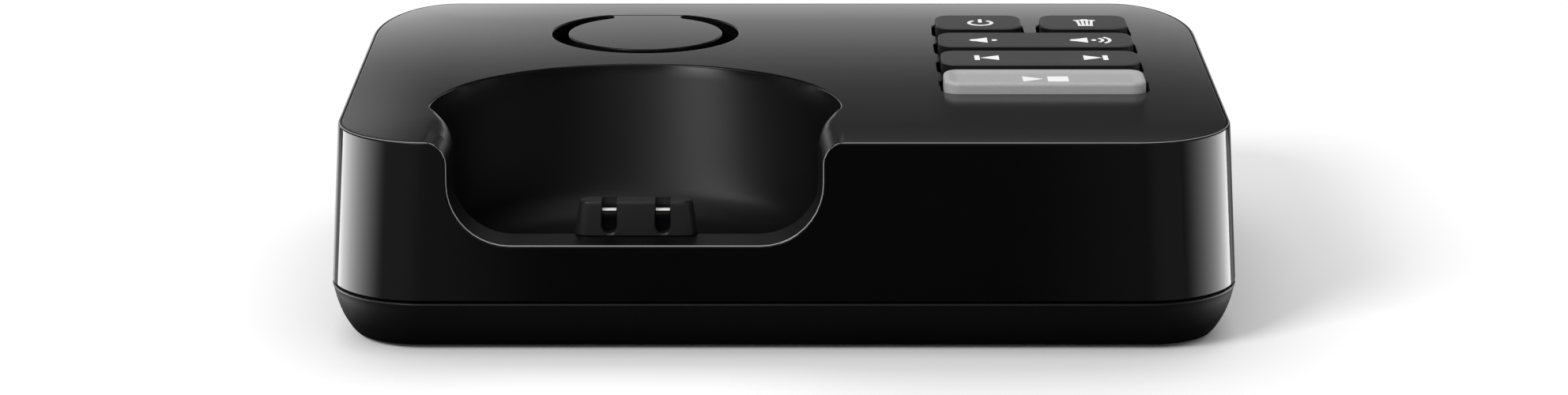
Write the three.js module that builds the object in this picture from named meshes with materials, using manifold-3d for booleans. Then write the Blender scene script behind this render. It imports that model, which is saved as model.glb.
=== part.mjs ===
// Charging base of a cordless telephone with an answering machine. Millimetres, +Z up.
// The origin is the middle of the footprint, on the table. The front faces -Y.
import * as THREE from 'three';
import { mergeVertices } from 'three/addons/utils/BufferGeometryUtils.js';
import Module from 'manifold-3d';

const wasm = await Module();
wasm.setup();

// Case, measured at its top edge. The sides flare out to the parting line.
// A share is a part of the case's half width or depth, or of the size named beside it.
const caseHalfWidth = 70.55;
const caseHalfDepth = 52;
const sideDraft = 1.3;
const frontDraft = 1.5;
const frontCornerRadius = 15.5;
const rearCornerWidth = 13;
const rearCornerDepth = 25.5;
const footStand = 0.7;
const trayHeight = 8.3;
const bandHeight = 25.4;
const crownRise = 0.25;
const crownReach = 15;

// Walls, seams and clearances.
const clearance = 0.3;
const smallGap = 0.15;
const overrun = 4;
const bandWall = 2;
const lipWidth = 0.6;
const plateThickness = 1.7;
const bowlWall = 1.8;
const trayWall = 2;
const trayFloor = 2;
const trayFrontInset = 5.2;
const traySideInset = 3.4;
const tongueWall = 1.2;
const tongueRise = 1.8;
const tongueRoot = 2.2;

// Cradle bowl: depths below the deck edge, reaches behind the case's front top edge.
const notchShift = 0.6;
const bowlHalfWidthShare = 0.4677;
const bowlReachShare = 0.5202;
const bowlDepth = 24;
const ledgeDepth = 6.4;
const notchHalfWidthShare = 0.4139;
const notchDepth = 16.3;
const notchCornerRadius = 9.75;
const rollRadius = 3.2;
const rollReachShare = 0.444;

// Contact block on the ledge, and the leaf springs in its two slots.
const blockSetback = 4.8;
const blockWidth = 18.6;
const blockTopWidth = 16.8;
const blockHeight = 5.6;
const blockDepth = 4.4;
const blockTopDepth = 2.7;
const blockCornerRadius = 1;
const blockEdgeRadius = 0.5;
const slotSpacing = 8.4;
const slotWidth = 2.4;
const slotFloor = 0.4;
const slotBackWall = 0.7;
const leafThickness = 0.4;
const leafDrop = 1;
const leafCrestSetback = 1;
const leafTailWidth = 1.1;
const leafLegDrop = 2;
const leafLegReach = 0.6;
const leafTravel = 0.8;

// Keys at the right of the deck.
const keyBlockWidthShare = 0.4649;
const keySpacingShare = 0.13415;
const keyDepthShare = 0.7527;
const keyProud = 1.65;
const keyCornerRadius = 2.5;
const keyEdgeRadius = 0.7;
const wellGap = 0.6;
const powerKeyWidthShare = 0.4451;
const deleteKeyWidthShare = 0.4512;
const flangeWidth = 1.2;
const flangeThickness = 1.1;
const rockerTabWidth = 10;
const keyTravel = 0.95;

// Paging key: a disc in a ring-shaped slot, on a living hinge at its back.
const pagingRadius = 13.2;
const ringRadius = 16;
const neckHalfAngle = THREE.MathUtils.degToRad(23);
const plungerRadius = 2;

// Main board on the tray's standoffs.
const boardThickness = 1.6;
const standoffRise = 1.5;
const standoffRadius = 2.2;
const boardSideMargin = 5.6;
const boardRearMargin = 5.5;
const boardFrontMargin = 6.5;
const boardSpeakerGap = 7.6;

// Key board and its silicone mat.
const keyBoardThickness = 1.6;
const keyMatThickness = 1;
const domeHeight = 1.35;
const domeRadius = 3;
const domeTopRadius = 1.8;
const keyPostRadius = 2.2;
const keyPostSide = 2.2;
const keyPostReachShare = 0.4355;

// Screws: case and key board.
const casePostRadius = 3;
const casePostFrontSide = 10.05;
const casePostFrontSetback = 10;
const casePostRearSide = 11.55;
const casePostRearMargin = 9;
const bossRadius = 3.4;
const bossRise = 4.5;
const caseScrewRadius = 1.4;
const caseScrewHeadRadius = 2.7;
const caseScrewHeadHeight = 1.7;
const caseScrewLength = 11;
const counterboreDepth = 2.6;
const keyScrewRadius = 0.9;
const keyScrewHeadRadius = 1.8;
const keyScrewHeadHeight = 1.2;
const keyScrewLength = 5;

// Feet.
const footWidth = 14;
const footDepth = 7;
const footCornerRadius = 3;
const footSunk = 0.6;
const footSideMargin = 25.55;
const footFrontSetback = 11.5;
const footRearMargin = 10.5;

// Loudspeaker, facing down.
const speakerRadius = 19;
const speakerHeight = 9;
const speakerRimWidth = 2.6;
const speakerRimThickness = 1.2;
const gasketThickness = 0.8;
const coneRadius = 15.6;
const coneThickness = 0.5;
const coneDepth = 3.4;
const coneCoilRadius = 6.5;
const basketWall = 0.8;
const magnetRadius = 9.5;
const magnetHeight = 4.5;
const speakerCollarWall = 1.4;
const speakerCollarHeight = 3;
const soundSlotWidth = 1.7;
const soundSlotSpacing = 4.2;
const soundSlotCount = 7;
const soundFieldRadius = 14.5;

// Sockets in the back wall.
const lineJackWidth = 13.2;
const lineJackHeight = 12.2;
const lineSocketWidth = 9.9;
const lineSocketHeight = 7;
const powerJackWidth = 11.2;
const powerJackHeight = 11;
const powerSocketWidth = 7.8;
const powerSocketHeight = 6.2;
const jackDepth = 14.5;
const jackSetIn = 0.9;
const socketDepth = 11.5;
const socketSill = 2.4;
const latchWidth = 4.2;
const latchRise = 1.5;

// Parts on the main board: widths along X, depths along Y.
const shieldWidthShare = 0.3544;
const shieldLengthShare = 0.2019;
const shieldHeight = 3.4;
const shieldWall = 0.4;
const processorSize = 13;
const processorHeight = 1.4;
const memoryWidth = 11;
const memoryDepth = 8;
const memoryHeight = 1.2;
const capacitorRadius = 4;
const capacitorHeight = 9.5;
const capacitorSpacing = 10;
const crystalLength = 10;
const crystalWidth = 4.4;
const crystalHeight = 3.4;
const antennaLength = 20;
const antennaHeight = 9;
const antennaThickness = 0.5;
const antennaLimb = 2;
const switchSize = 6;
const switchBodyHeight = 4;
const switchStemRadius = 1.7;
const switchStemHeight = 6;
const switchRelease = 1.2;
const ribbonWidthShare = 0.366;
const ribbonThickness = 0.3;
const ribbonSlack = 3;
const ribbonLanding = 5;
const wallHoleRadius = 4;
const wallSlotRadius = 2;
const wallSlotLength = 7;

// Places in plan: shares of the case's half width from its middle, and of its depth from its front edge.
const placeShares = {
  bowl: [-0.3373, 0],
  pagingKey: [-0.3373, 0.7538],
  playKey: [0.6017, 0.3659],
  speaker: [0.567, 0.2885],
  lineJack: [0.3685, 1],
  powerJack: [0.085, 1],
  wallHole: [0.4252, 0.5577],
  shield: [-0.652, 0.7308],
  processor: [-0.0567, 0.6346],
  memory: [0.1984, 0.6154],
  crystal: [-0.0567, 0.7692],
  capacitor: [-0.2835, 0.8846],
  antenna: [0.8866, 0.6923],
};
const standoffShares = [[-0.85, 0.5577], [-0.425, 0.178], [0.425, 0.832], [0, 0.5577]];

// Counts of steps round curves.
const cornerSteps = 8;
const circleSteps = 24;
const smallSteps = 14;
const arcSteps = 5;

// Heights that follow from the sizes above.
const trayBottom = footStand;
const parting = trayBottom + trayHeight;
const trayTop = parting - clearance / 2;
const bandBottom = parting + clearance / 2;
const edgeTop = parting + bandHeight;
const deckTop = edgeTop + crownRise;
const plateBottom = edgeTop - plateThickness;
const seamInset = lipWidth + clearance;
const floorTop = trayBottom + trayFloor;
const boardBottom = floorTop + standoffRise + smallGap;
const boardTop = boardBottom + boardThickness;
const onBoard = boardTop + smallGap;
const frontEdge = -caseHalfDepth;
const rearEdge = caseHalfDepth;
const placeAt = ([side, back]) => [side * caseHalfWidth, frontEdge + back * (rearEdge - frontEdge)];
const ledgeTop = edgeTop - notchDepth;
const bowlHalfWidth = bowlHalfWidthShare * caseHalfWidth;
const notchHalfWidth = notchHalfWidthShare * caseHalfWidth;
const bowlReach = bowlReachShare * (rearEdge - frontEdge);
const rollReach = rollReachShare * bowlReach;
const [bowlX] = placeAt(placeShares.bowl);
const notchX = bowlX + notchShift;
const flangeTop = plateBottom - clearance;
const flangeBottom = flangeTop - flangeThickness;
const domeTop = flangeBottom - keyTravel - clearance;
const matTop = domeTop - domeHeight;
const matBottom = matTop - keyMatThickness;
const keyBoardTop = matBottom - smallGap;
const keyBoardBottom = keyBoardTop - keyBoardThickness;
const postBottom = floorTop + bossRise + clearance;

function arc(centreX, centreY, radiusX, radiusY, from, to, steps) {
  const points = [];
  for (let i = 0; i <= steps; i += 1) {
    const angle = from + ((to - from) * i) / steps;
    points.push([centreX + radiusX * Math.cos(angle), centreY + radiusY * Math.sin(angle)]);
  }
  return points;
}

function roundedRectangle(width, depth, radius, steps = arcSteps) {
  const x = width / 2 - radius;
  const y = depth / 2 - radius;
  const quarter = Math.PI / 2;
  return [
    ...arc(x, -y, radius, radius, -quarter, 0, steps),
    ...arc(x, y, radius, radius, 0, quarter, steps),
    ...arc(-x, y, radius, radius, quarter, Math.PI, steps),
    ...arc(-x, -y, radius, radius, Math.PI, 3 * quarter, steps),
  ];
}

// A closed skin over outlines with equal numbers of points, each turned into 3-D by place(point, level).
function loft(sections, place) {
  const count = sections[0].outline.length;
  const positions = [];
  for (const { outline, level } of sections) {
    for (const point of outline) positions.push(...place(point, level));
  }
  const index = [];
  for (let row = 0; row < sections.length - 1; row += 1) {
    for (let i = 0; i < count; i += 1) {
      const a = row * count + i;
      const b = row * count + ((i + 1) % count);
      index.push(a, b, b + count, a, b + count, a + count);
    }
  }
  const cap = (row, flip) => {
    const contour = sections[row].outline.map((point) => new THREE.Vector2(point[0], point[1]));
    const reversed = flip !== THREE.ShapeUtils.isClockWise(contour);
    for (const [a, b, c] of THREE.ShapeUtils.triangulateShape(contour, [])) {
      const corners = reversed ? [c, b, a] : [a, b, c];
      index.push(...corners.map((corner) => corner + row * count));
    }
  };
  cap(0, true);
  cap(sections.length - 1, false);
  const geometry = new THREE.BufferGeometry();
  geometry.setAttribute('position', new THREE.Float32BufferAttribute(positions, 3));
  geometry.setIndex(index);
  return facingOut(geometry);
}

function signedVolume(geometry) {
  const position = geometry.getAttribute('position');
  const index = geometry.getIndex();
  const corners = [new THREE.Vector3(), new THREE.Vector3(), new THREE.Vector3()];
  let volume = 0;
  for (let i = 0; i < index.count; i += 3) {
    corners.forEach((corner, k) => corner.fromBufferAttribute(position, index.getX(i + k)));
    volume += corners[0].dot(corners[1].clone().cross(corners[2]));
  }
  return volume;
}

function facingOut(geometry) {
  if (signedVolume(geometry) < 0) {
    const index = geometry.getIndex();
    for (let i = 0; i < index.count; i += 3) {
      const first = index.getX(i);
      index.setX(i, index.getX(i + 2));
      index.setX(i + 2, first);
    }
  }
  return geometry;
}

const upright = (point, level) => [point[0], point[1], level];
const acrossDepth = (point, level) => [point[0], level, point[1]];
const acrossWidth = (point, level) => [level, point[0], point[1]];

function prism(points, from, to, place = upright) {
  return loft([{ outline: points, level: from }, { outline: points, level: to }], place);
}

function block(x0, x1, y0, y1, z0, z1) {
  return prism([[x0, y0], [x1, y0], [x1, y1], [x0, y1]], z0, z1);
}

function post(x, y, radius, z0, z1, steps = smallSteps) {
  const geometry = new THREE.CylinderGeometry(radius, radius, z1 - z0, steps);
  geometry.rotateX(Math.PI / 2);
  geometry.translate(x, y, (z0 + z1) / 2);
  return geometry;
}

// The same post at each of several places, which hold a name, x and y.
function posts(places, radius, z0, z1) {
  return places.map(([, x, y]) => post(x, y, radius, z0, z1));
}

// A block centred on x and y, standing on z.
function brick(x, y, width, depth, z, height) {
  return block(x - width / 2, x + width / 2, y - depth / 2, y + depth / 2, z, z + height);
}

// A turned piece about the vertical line through (x, y); the profile holds [radius, height] pairs.
function turned(profile, x, y, steps = circleSteps) {
  const geometry = new THREE.LatheGeometry(profile.map((p) => new THREE.Vector2(p[0], p[1])), steps);
  geometry.rotateX(Math.PI / 2);
  geometry.translate(x, y, 0);
  return geometry;
}

function solid(geometry) {
  const bare = geometry.clone();
  bare.deleteAttribute('normal');
  bare.deleteAttribute('uv');
  const merged = facingOut(mergeVertices(bare));
  return new wasm.Manifold(new wasm.Mesh({
    numProp: 3,
    vertProperties: new Float32Array(merged.getAttribute('position').array),
    triVerts: new Uint32Array(merged.getIndex().array),
  }));
}

const isSolid = (item) => !(item instanceof THREE.BufferGeometry);
const asSolid = (item) => (isSolid(item) ? item : solid(item));
const join = (...items) => items.map(asSolid).reduce((sum, item) => sum.add(item));
const cut = (item, ...tools) => (
  tools.map(asSolid).reduce((rest, tool) => rest.subtract(tool), asSolid(item))
);
const common = (first, second) => asSolid(first).intersect(asSolid(second));

function geometryOf(item) {
  const mesh = asSolid(item).getMesh();
  const geometry = new THREE.BufferGeometry();
  geometry.setAttribute('position', new THREE.BufferAttribute(new Float32Array(mesh.vertProperties), 3));
  geometry.setIndex(new THREE.BufferAttribute(new Uint32Array(mesh.triVerts), 1));
  return geometry;
}

const finishes = {
  deckSatin: { color: 0x1d1d1f, roughness: 0.45, metalness: 0 },
  bandGloss: { color: 0x08080a, roughness: 0.08, metalness: 0 },
  trayMatte: { color: 0x101012, roughness: 0.55, metalness: 0 },
  keyGrey: { color: 0x2a2a2d, roughness: 0.6, metalness: 0 },
  keySilver: { color: 0x9a9a9e, roughness: 0.35, metalness: 0.6 },
  contactMetal: { color: 0xd8d2c0, roughness: 0.2, metalness: 1 },
  footRubber: { color: 0x1a1a1a, roughness: 0.9, metalness: 0 },
  boardGreen: { color: 0x1f5a36, roughness: 0.5, metalness: 0 },
  steel: { color: 0xb4b6b8, roughness: 0.35, metalness: 1 },
  chipBlack: { color: 0x161616, roughness: 0.6, metalness: 0 },
  capacitorSleeve: { color: 0x22283a, roughness: 0.4, metalness: 0 },
  magnetSteel: { color: 0x5c5e62, roughness: 0.4, metalness: 0.9 },
  conePaper: { color: 0x3a342c, roughness: 0.85, metalness: 0 },
  foam: { color: 0x2c2c2c, roughness: 0.95, metalness: 0 },
  silicone: { color: 0x8d8f92, roughness: 0.7, metalness: 0 },
  ribbonFilm: { color: 0xb98a3c, roughness: 0.4, metalness: 0 },
};

const base = new THREE.Group();

function add(name, item, finish, x = 0, y = 0, z = 0) {
  const mesh = new THREE.Mesh(geometryOf(item), new THREE.MeshStandardMaterial(finishes[finish]));
  mesh.name = name;
  mesh.position.set(x, y, z);
  base.add(mesh);
}

// The case's plan at a height, drawn in from its surface by an inset.
function caseOutline(height, inset) {
  const share = (edgeTop - height) / bandHeight;
  const x = caseHalfWidth + sideDraft * share - inset;
  const y = caseHalfDepth + frontDraft * share - inset;
  return planOutline(x, y, y, inset);
}

function planOutline(x, front, rear, inset) {
  const radius = Math.max(frontCornerRadius - inset, clearance);
  const rearX = Math.max(rearCornerWidth - inset, clearance);
  const rearY = Math.max(rearCornerDepth - inset, clearance);
  const quarter = Math.PI / 2;
  return [
    ...arc(x - radius, -front + radius, radius, radius, -quarter, 0, cornerSteps),
    ...arc(x - rearX, rear - rearY, rearX, rearY, 0, quarter, cornerSteps),
    ...arc(-x + rearX, rear - rearY, rearX, rearY, quarter, Math.PI, cornerSteps),
    ...arc(-x + radius, -front + radius, radius, radius, Math.PI, 3 * quarter, cornerSteps),
  ];
}

function envelope(inset, from, to) {
  const sections = [from, to].map((level) => ({ outline: caseOutline(level, inset), level }));
  return loft(sections, upright);
}

// Plan of the bowl's rim, right half, from the ledge's back edge round to the apex:
// shares of the bowl's half width and of its reach.
const rimShares = [
  [0.876, 0.118], [0.9, 0.192], [0.948, 0.322], [0.995, 0.444], [0.982, 0.551], [0.924, 0.647],
  [0.833, 0.743], [0.7, 0.843], [0.561, 0.909], [0.27, 0.978], [0, 1],
];
const rimSteps = 22;
const rimCurve = new THREE.SplineCurve(
  rimShares.map(([side, reach]) => new THREE.Vector2(side * bowlHalfWidth, reach * bowlReach)),
);

// Down the bowl: shares of its depth, of its reach behind the ledge, of its width,
// and how far the front wall has rounded in, as a share of the ledge's depth.
const wallShares = [
  [0, 1, 1, 0], [0.4, 0.88, 0.99, 0], [0.72, 0.785, 0.965, 0], [0.84, 0.735, 0.935, 0.03],
  [0.93, 0.665, 0.875, 0.12], [0.98, 0.57, 0.79, 0.3], [1, 0.46, 0.68, 0.6],
];

// The middle of the bowl: the notch lies a little nearer the keys than the rim does.
function bowlMiddle(setback) {
  const share = THREE.MathUtils.clamp((rollReach - setback) / (rollReach - ledgeDepth), 0, 1);
  return bowlX + notchShift * share;
}

function bowlPit(grow) {
  const rim = rimCurve.getPoints(rimSteps);
  const widthGrowth = (bowlHalfWidth + grow) / bowlHalfWidth;
  const sections = wallShares.map(([depthShare, reachShare, widthShare, roundShare]) => {
    const front = ledgeDepth * (1 + roundShare) - grow;
    const back = ledgeDepth + (bowlReach - ledgeDepth) * reachShare + grow;
    const right = rim.map((point) => {
      const along = (point.y - rim[0].y) / (bowlReach - rim[0].y);
      return [point.x * widthShare * widthGrowth, frontEdge + front + (back - front) * along];
    });
    const left = right.slice(0, -1).reverse().map(([x, y]) => [-x, y]);
    const outline = [...right, ...left].map(([x, y]) => [x + bowlMiddle(y - frontEdge), y]);
    return { outline, level: edgeTop - (bowlDepth + grow) * depthShare };
  });
  const lid = { outline: sections[0].outline, level: deckTop + overrun };
  return loft([lid, ...sections], upright);
}

function rimHalfWidthAt(setback) {
  const points = rimCurve.getPoints(rimSteps);
  const after = points.findIndex((point) => point.y >= setback);
  if (after <= 0) return points[0].x;
  const before = points[after - 1];
  const share = (setback - before.y) / (points[after].y - before.y);
  return before.x + (points[after].x - before.x) * share;
}

// The U-shaped way through the front wall, with its round lower corners.
function notch(grow) {
  const half = notchHalfWidth + grow;
  const low = ledgeTop - grow;
  const radius = notchCornerRadius + grow;
  const high = deckTop + overrun;
  const quarter = Math.PI / 2;
  const narrowing = rimShares[0][0] * bowlHalfWidth + grow;
  const outline = (side) => [
    [side, high],
    [-side, high],
    ...arc(-side + radius, low + radius, radius, radius, Math.PI, 3 * quarter, cornerSteps),
    ...arc(side - radius, low + radius, radius, radius, 3 * quarter, 4 * quarter, cornerSteps),
  ].map(([x, z]) => [x + notchX, z]);
  const front = frontEdge - frontDraft - overrun;
  const back = frontEdge + ledgeDepth + clearance + grow;
  return loft([
    { outline: outline(half), level: front },
    { outline: outline(half), level: frontEdge },
    { outline: outline(narrowing), level: back },
  ], acrossDepth);
}

// The deck rolls over into the notch; the roll dies away towards the bowl's widest point.
function deckRoll() {
  const stations = [-frontDraft - overrun, 0, 1 / 4, 1 / 2, 3 / 4, 1];
  const sections = stations.map((station) => {
    const setback = station > 0 ? station * rollReach : station;
    const side = setback > 0 ? rimHalfWidthAt(setback) : notchHalfWidth;
    const radius = rollRadius * (1 - Math.max(station, 0)) + clearance;
    const high = deckTop + overrun;
    const quarter = Math.PI / 2;
    const right = arc(side + radius, edgeTop - radius, radius, radius, quarter, 2 * quarter, arcSteps);
    const rightSide = [[side + radius, high], ...right, [side, edgeTop - radius - clearance]];
    const leftSide = rightSide.map(([x, z]) => [-x, z]).reverse();
    const outline = [...rightSide, ...leftSide].map(([x, z]) => [x + bowlMiddle(setback), z]);
    return { outline, level: frontEdge + setback };
  });
  return loft(sections, acrossDepth);
}

const bowlSpace = join(bowlPit(0), notch(0), deckRoll());
const bowlBody = (grow) => join(bowlPit(grow), notch(grow));

const [keyBlockX, playKeyY] = placeAt(placeShares.playKey);
const keySpacing = keySpacingShare * (rearEdge - frontEdge);
const keyDepth = keyDepthShare * keySpacing;
const keyBlockWidth = keyBlockWidthShare * caseHalfWidth;
const powerKeyWidth = powerKeyWidthShare * keyBlockWidth;
const deleteKeyWidth = deleteKeyWidthShare * keyBlockWidth;
const keyRows = [0, 1, 2, 3].map((row) => playKeyY + row * keySpacing);
const keyLeft = keyBlockX - keyBlockWidth / 2;
const keyRight = keyBlockX + keyBlockWidth / 2;
const keys = [
  { name: 'play_key', x: keyBlockX, y: keyRows[0], width: keyBlockWidth },
  { name: 'skip_key', x: keyBlockX, y: keyRows[1], width: keyBlockWidth, rocker: true },
  { name: 'volume_key', x: keyBlockX, y: keyRows[2], width: keyBlockWidth, rocker: true },
  { name: 'power_key', x: keyLeft + powerKeyWidth / 2, y: keyRows[3], width: powerKeyWidth },
  { name: 'delete_key', x: keyRight - deleteKeyWidth / 2, y: keyRows[3], width: deleteKeyWidth },
];

const moved = (points, x, y) => points.map((point) => [point[0] + x, point[1] + y]);

// A key's plan, grown on every side.
function keyOutline(key, growth, length = key.width) {
  const outline = roundedRectangle(length + 2 * growth, keyDepth + 2 * growth, keyCornerRadius + growth);
  return moved(outline, key.x, key.y);
}

const casePosts = [
  ['front_left', casePostFrontSide - caseHalfWidth, frontEdge + casePostFrontSetback],
  ['front_right', caseHalfWidth - casePostFrontSide, frontEdge + casePostFrontSetback],
  ['rear_left', casePostRearSide - caseHalfWidth, rearEdge - casePostRearMargin],
  ['rear_right', caseHalfWidth - casePostRearSide, rearEdge - casePostRearMargin],
];
const keyPostLeft = keyLeft - flangeWidth - clearance - keyPostSide;
const keyPostRight = keyRight + flangeWidth + clearance + keyPostSide;
const keyPostFront = keyRows[0] - keyPostReachShare * keySpacing;
const keyPostRear = keyRows[3] + keyPostReachShare * keySpacing;
const keyPosts = [
  ['front_left', keyPostLeft, keyPostFront],
  ['front_right', keyPostRight, keyPostFront],
  ['rear_left', keyPostLeft, keyPostRear],
  ['rear_right', keyPostRight, keyPostRear],
];
const [pagingX, pagingY] = placeAt(placeShares.pagingKey);
const contactXs = [['left', notchX - slotSpacing / 2], ['right', notchX + slotSpacing / 2]];
const blockFront = frontEdge + blockSetback;
const blockBack = blockFront + blockDepth;
const tailY = blockBack - slotBackWall - leafTailWidth / 2;
const tailHole = (x, from, to) => brick(x, tailY, slotWidth, leafTailWidth, from, to - from);

function topCover() {
  const plateSections = [{ outline: caseOutline(edgeTop, seamInset), level: plateBottom }];
  for (const share of [0, 1 / 3, 2 / 3, 1]) {
    const inset = seamInset + (crownReach - seamInset) * share;
    plateSections.push({
      outline: planOutline(caseHalfWidth - inset, caseHalfDepth - inset, caseHalfDepth - inset, inset),
      level: edgeTop + crownRise * (1 - (1 - share) ** 2),
    });
  }
  const whole = join(
    loft(plateSections, upright),
    bowlBody(bowlWall),
    ...posts(casePosts, casePostRadius, postBottom, plateBottom + smallGap),
    ...posts(keyPosts, keyPostRadius, keyBoardTop + smallGap, plateBottom + smallGap),
  );
  const above = deckTop + overrun;
  const trimmed = common(whole, envelope(seamInset, 0, above));
  const headroom = cut(envelope(0, plateBottom, above), loft(plateSections, upright));
  return cut(
    trimmed,
    headroom,
    bowlSpace,
    ...keys.map((key) => prism(keyOutline(key, wellGap), plateBottom - overrun, above)),
    post(pagingX, pagingY, ringRadius, plateBottom - overrun, above, 2 * circleSteps),
    ...posts(casePosts, caseScrewRadius + smallGap, 0, postBottom + caseScrewLength),
    ...posts(keyPosts, keyScrewRadius + smallGap, keyBoardBottom, plateBottom - clearance),
    ...contactXs.map(([, x]) => tailHole(x, 0, ledgeTop)),
  );
}

const [lineJackX, rearTop] = placeAt(placeShares.lineJack);
const [powerJackX] = placeAt(placeShares.powerJack);
const jacks = [
  { name: 'line_jack', x: lineJackX, width: lineJackWidth, height: lineJackHeight },
  { name: 'power_jack', x: powerJackX, width: powerJackWidth, height: powerJackHeight },
];
const jackBack = rearTop + frontDraft - jackSetIn;
const jackWindows = jacks.map(({ x, width, height }) => brick(
  x, jackBack, width + 2 * clearance, 2 * overrun, onBoard - clearance, height + 2 * clearance,
));

function glossBand() {
  const above = deckTop + overrun;
  const behindLip = common(bowlBody(bowlWall + clearance), envelope(lipWidth, 0, above));
  return cut(
    envelope(0, bandBottom, edgeTop),
    envelope(bandWall, 0, above),
    envelope(lipWidth, plateBottom - clearance, above),
    behindLip,
    bowlSpace,
    ...jackWindows,
  );
}

// The tray's flank bulges slightly as it draws in: shares of its height from the top, and of its inset.
const flankShares = [[0, 0], [0.28, 0.15], [0.59, 0.41], [0.82, 0.7], [0.94, 0.9], [1, 1.06]];

function traySections(inset) {
  const height = trayTop - trayBottom;
  return flankShares.map(([heightShare, insetShare]) => {
    const x = caseHalfWidth + sideDraft - traySideInset * insetShare - inset;
    const front = caseHalfDepth + frontDraft - trayFrontInset * insetShare - inset;
    const outline = planOutline(x, front, front, inset + (trayFrontInset - clearance) * insetShare);
    return { outline, level: trayTop - height * heightShare };
  });
}

const [speakerX, speakerY] = placeAt(placeShares.speaker);
const footX = caseHalfWidth - footSideMargin;
const feet = [
  ['foot_front_left', -footX, frontEdge + footFrontSetback],
  ['foot_front_right', footX, frontEdge + footFrontSetback],
  ['foot_rear_left', -footX, rearEdge - footRearMargin],
  ['foot_rear_right', footX, rearEdge - footRearMargin],
];
const standoffs = standoffShares.map((shares) => ['standoff', ...placeAt(shares)]);

function soundSlots() {
  const slots = [];
  for (let i = 0; i < soundSlotCount; i += 1) {
    const offset = (i - (soundSlotCount - 1) / 2) * soundSlotSpacing;
    const length = 2 * Math.sqrt(soundFieldRadius ** 2 - offset ** 2);
    const outline = roundedRectangle(length, soundSlotWidth, soundSlotWidth / 2 - smallGap / 2, 3);
    slots.push(prism(moved(outline, speakerX, speakerY + offset), 0, floorTop + clearance));
  }
  return slots;
}

function wallHoles() {
  const [sideways, y] = placeAt(placeShares.wallHole);
  return [-sideways, sideways].flatMap((x) => {
    const length = wallSlotLength + wallSlotRadius;
    const slot = roundedRectangle(2 * wallSlotRadius, length, wallSlotRadius - smallGap);
    return [
      post(x, y - wallSlotLength, wallHoleRadius, 0, floorTop + clearance),
      prism(moved(slot, x, y - wallSlotLength / 2), 0, floorTop + clearance),
    ];
  });
}

function bottomTray() {
  const shell = cut(
    loft(traySections(0), upright),
    common(loft(traySections(trayWall), upright), envelope(0, floorTop, parting + overrun)),
  );
  const tongueInset = bandWall + clearance;
  const tongue = cut(
    envelope(tongueInset, parting - tongueRoot, parting + tongueRise),
    envelope(tongueInset + tongueWall, 0, parting + overrun),
  );
  const bridge = cut(
    envelope(bandWall - clearance, parting - tongueRoot, trayTop),
    envelope(tongueInset + tongueWall, 0, parting + overrun),
  );
  const bosses = posts(casePosts, bossRadius, trayBottom + clearance, floorTop + bossRise);
  const supports = posts(standoffs, standoffRadius, floorTop - clearance, floorTop + standoffRise);
  const collarInner = speakerRadius + clearance;
  const collar = turned([
    [collarInner, floorTop - clearance],
    [collarInner + speakerCollarWall, floorTop - clearance],
    [collarInner + speakerCollarWall, floorTop + speakerCollarHeight],
    [collarInner, floorTop + speakerCollarHeight],
    [collarInner, floorTop - clearance],
  ], speakerX, speakerY);
  return cut(
    join(shell, tongue, bridge, ...bosses, ...supports, collar),
    ...feet.map(([, x, y]) => {
      const pocket = roundedRectangle(footWidth + clearance, footDepth + clearance, footCornerRadius);
      return prism(moved(pocket, x, y), 0, trayBottom + footSunk + smallGap);
    }),
    ...posts(casePosts, caseScrewRadius + clearance, 0, parting + overrun),
    ...posts(casePosts, caseScrewHeadRadius + clearance, 0, trayBottom + counterboreDepth),
    ...soundSlots(),
    ...wallHoles(),
    ...jackWindows,
  );
}

function contactBlock() {
  const bottom = ledgeTop + smallGap;
  const top = ledgeTop + blockHeight;
  const section = (width, depth, setback, level) => ({
    outline: moved(
      roundedRectangle(width, depth, blockCornerRadius), notchX, blockFront + setback + depth / 2,
    ),
    level,
  });
  const body = loft([
    section(blockWidth, blockDepth, 0, bottom),
    section(blockTopWidth, blockTopDepth, clearance, top - blockEdgeRadius),
    section(blockTopWidth - 2 * blockEdgeRadius, blockTopDepth - blockEdgeRadius, blockEdgeRadius, top),
  ], upright);
  const foot = common(block(
    notchX - blockTopWidth / 2, notchX + blockTopWidth / 2,
    frontEdge + ledgeDepth, blockBack - smallGap,
    edgeTop - bowlDepth, bottom + smallGap,
  ), bowlPit(-clearance));
  const cuts = contactXs.flatMap(([, x]) => {
    const low = ledgeTop + slotFloor + slotWidth / 2;
    const slot = [
      [x + slotWidth / 2, top + overrun],
      [x - slotWidth / 2, top + overrun],
      ...arc(x, low, slotWidth / 2, slotWidth / 2, Math.PI, 2 * Math.PI, cornerSteps),
    ];
    return [
      prism(slot, blockFront - overrun, blockBack - slotBackWall, acrossDepth),
      tailHole(x, 0, top),
    ];
  });
  return cut(join(body, foot), ...cuts);
}

// A strip that follows a line of [y, z] points, with its thickness to the right of the way it runs.
function strip(points, thickness, x, width) {
  const offset = points.map((point, i) => {
    const before = points[Math.max(i - 1, 0)];
    const after = points[Math.min(i + 1, points.length - 1)];
    const run = new THREE.Vector2(after[0] - before[0], after[1] - before[1]).normalize();
    return [point[0] + run.y * thickness, point[1] - run.x * thickness];
  });
  return prism([...points, ...offset.reverse()], x - width / 2, x + width / 2, acrossWidth);
}

function contactLeaf(x) {
  const crestTop = ledgeTop + blockHeight - leafDrop;
  const crestY = blockFront + leafCrestSetback;
  const bend = leafThickness + smallGap;
  const path = [
    [tailY, boardTop + leafTravel + clearance],
    [tailY, crestTop - blockHeight / 4],
    [crestY + bend, crestTop - smallGap / 2],
    [crestY, crestTop],
    [crestY - bend, crestTop - smallGap],
    [crestY - leafLegReach, crestTop - leafLegDrop],
  ].reverse();
  return strip(path, leafThickness, x, slotWidth - clearance - smallGap);
}

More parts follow.
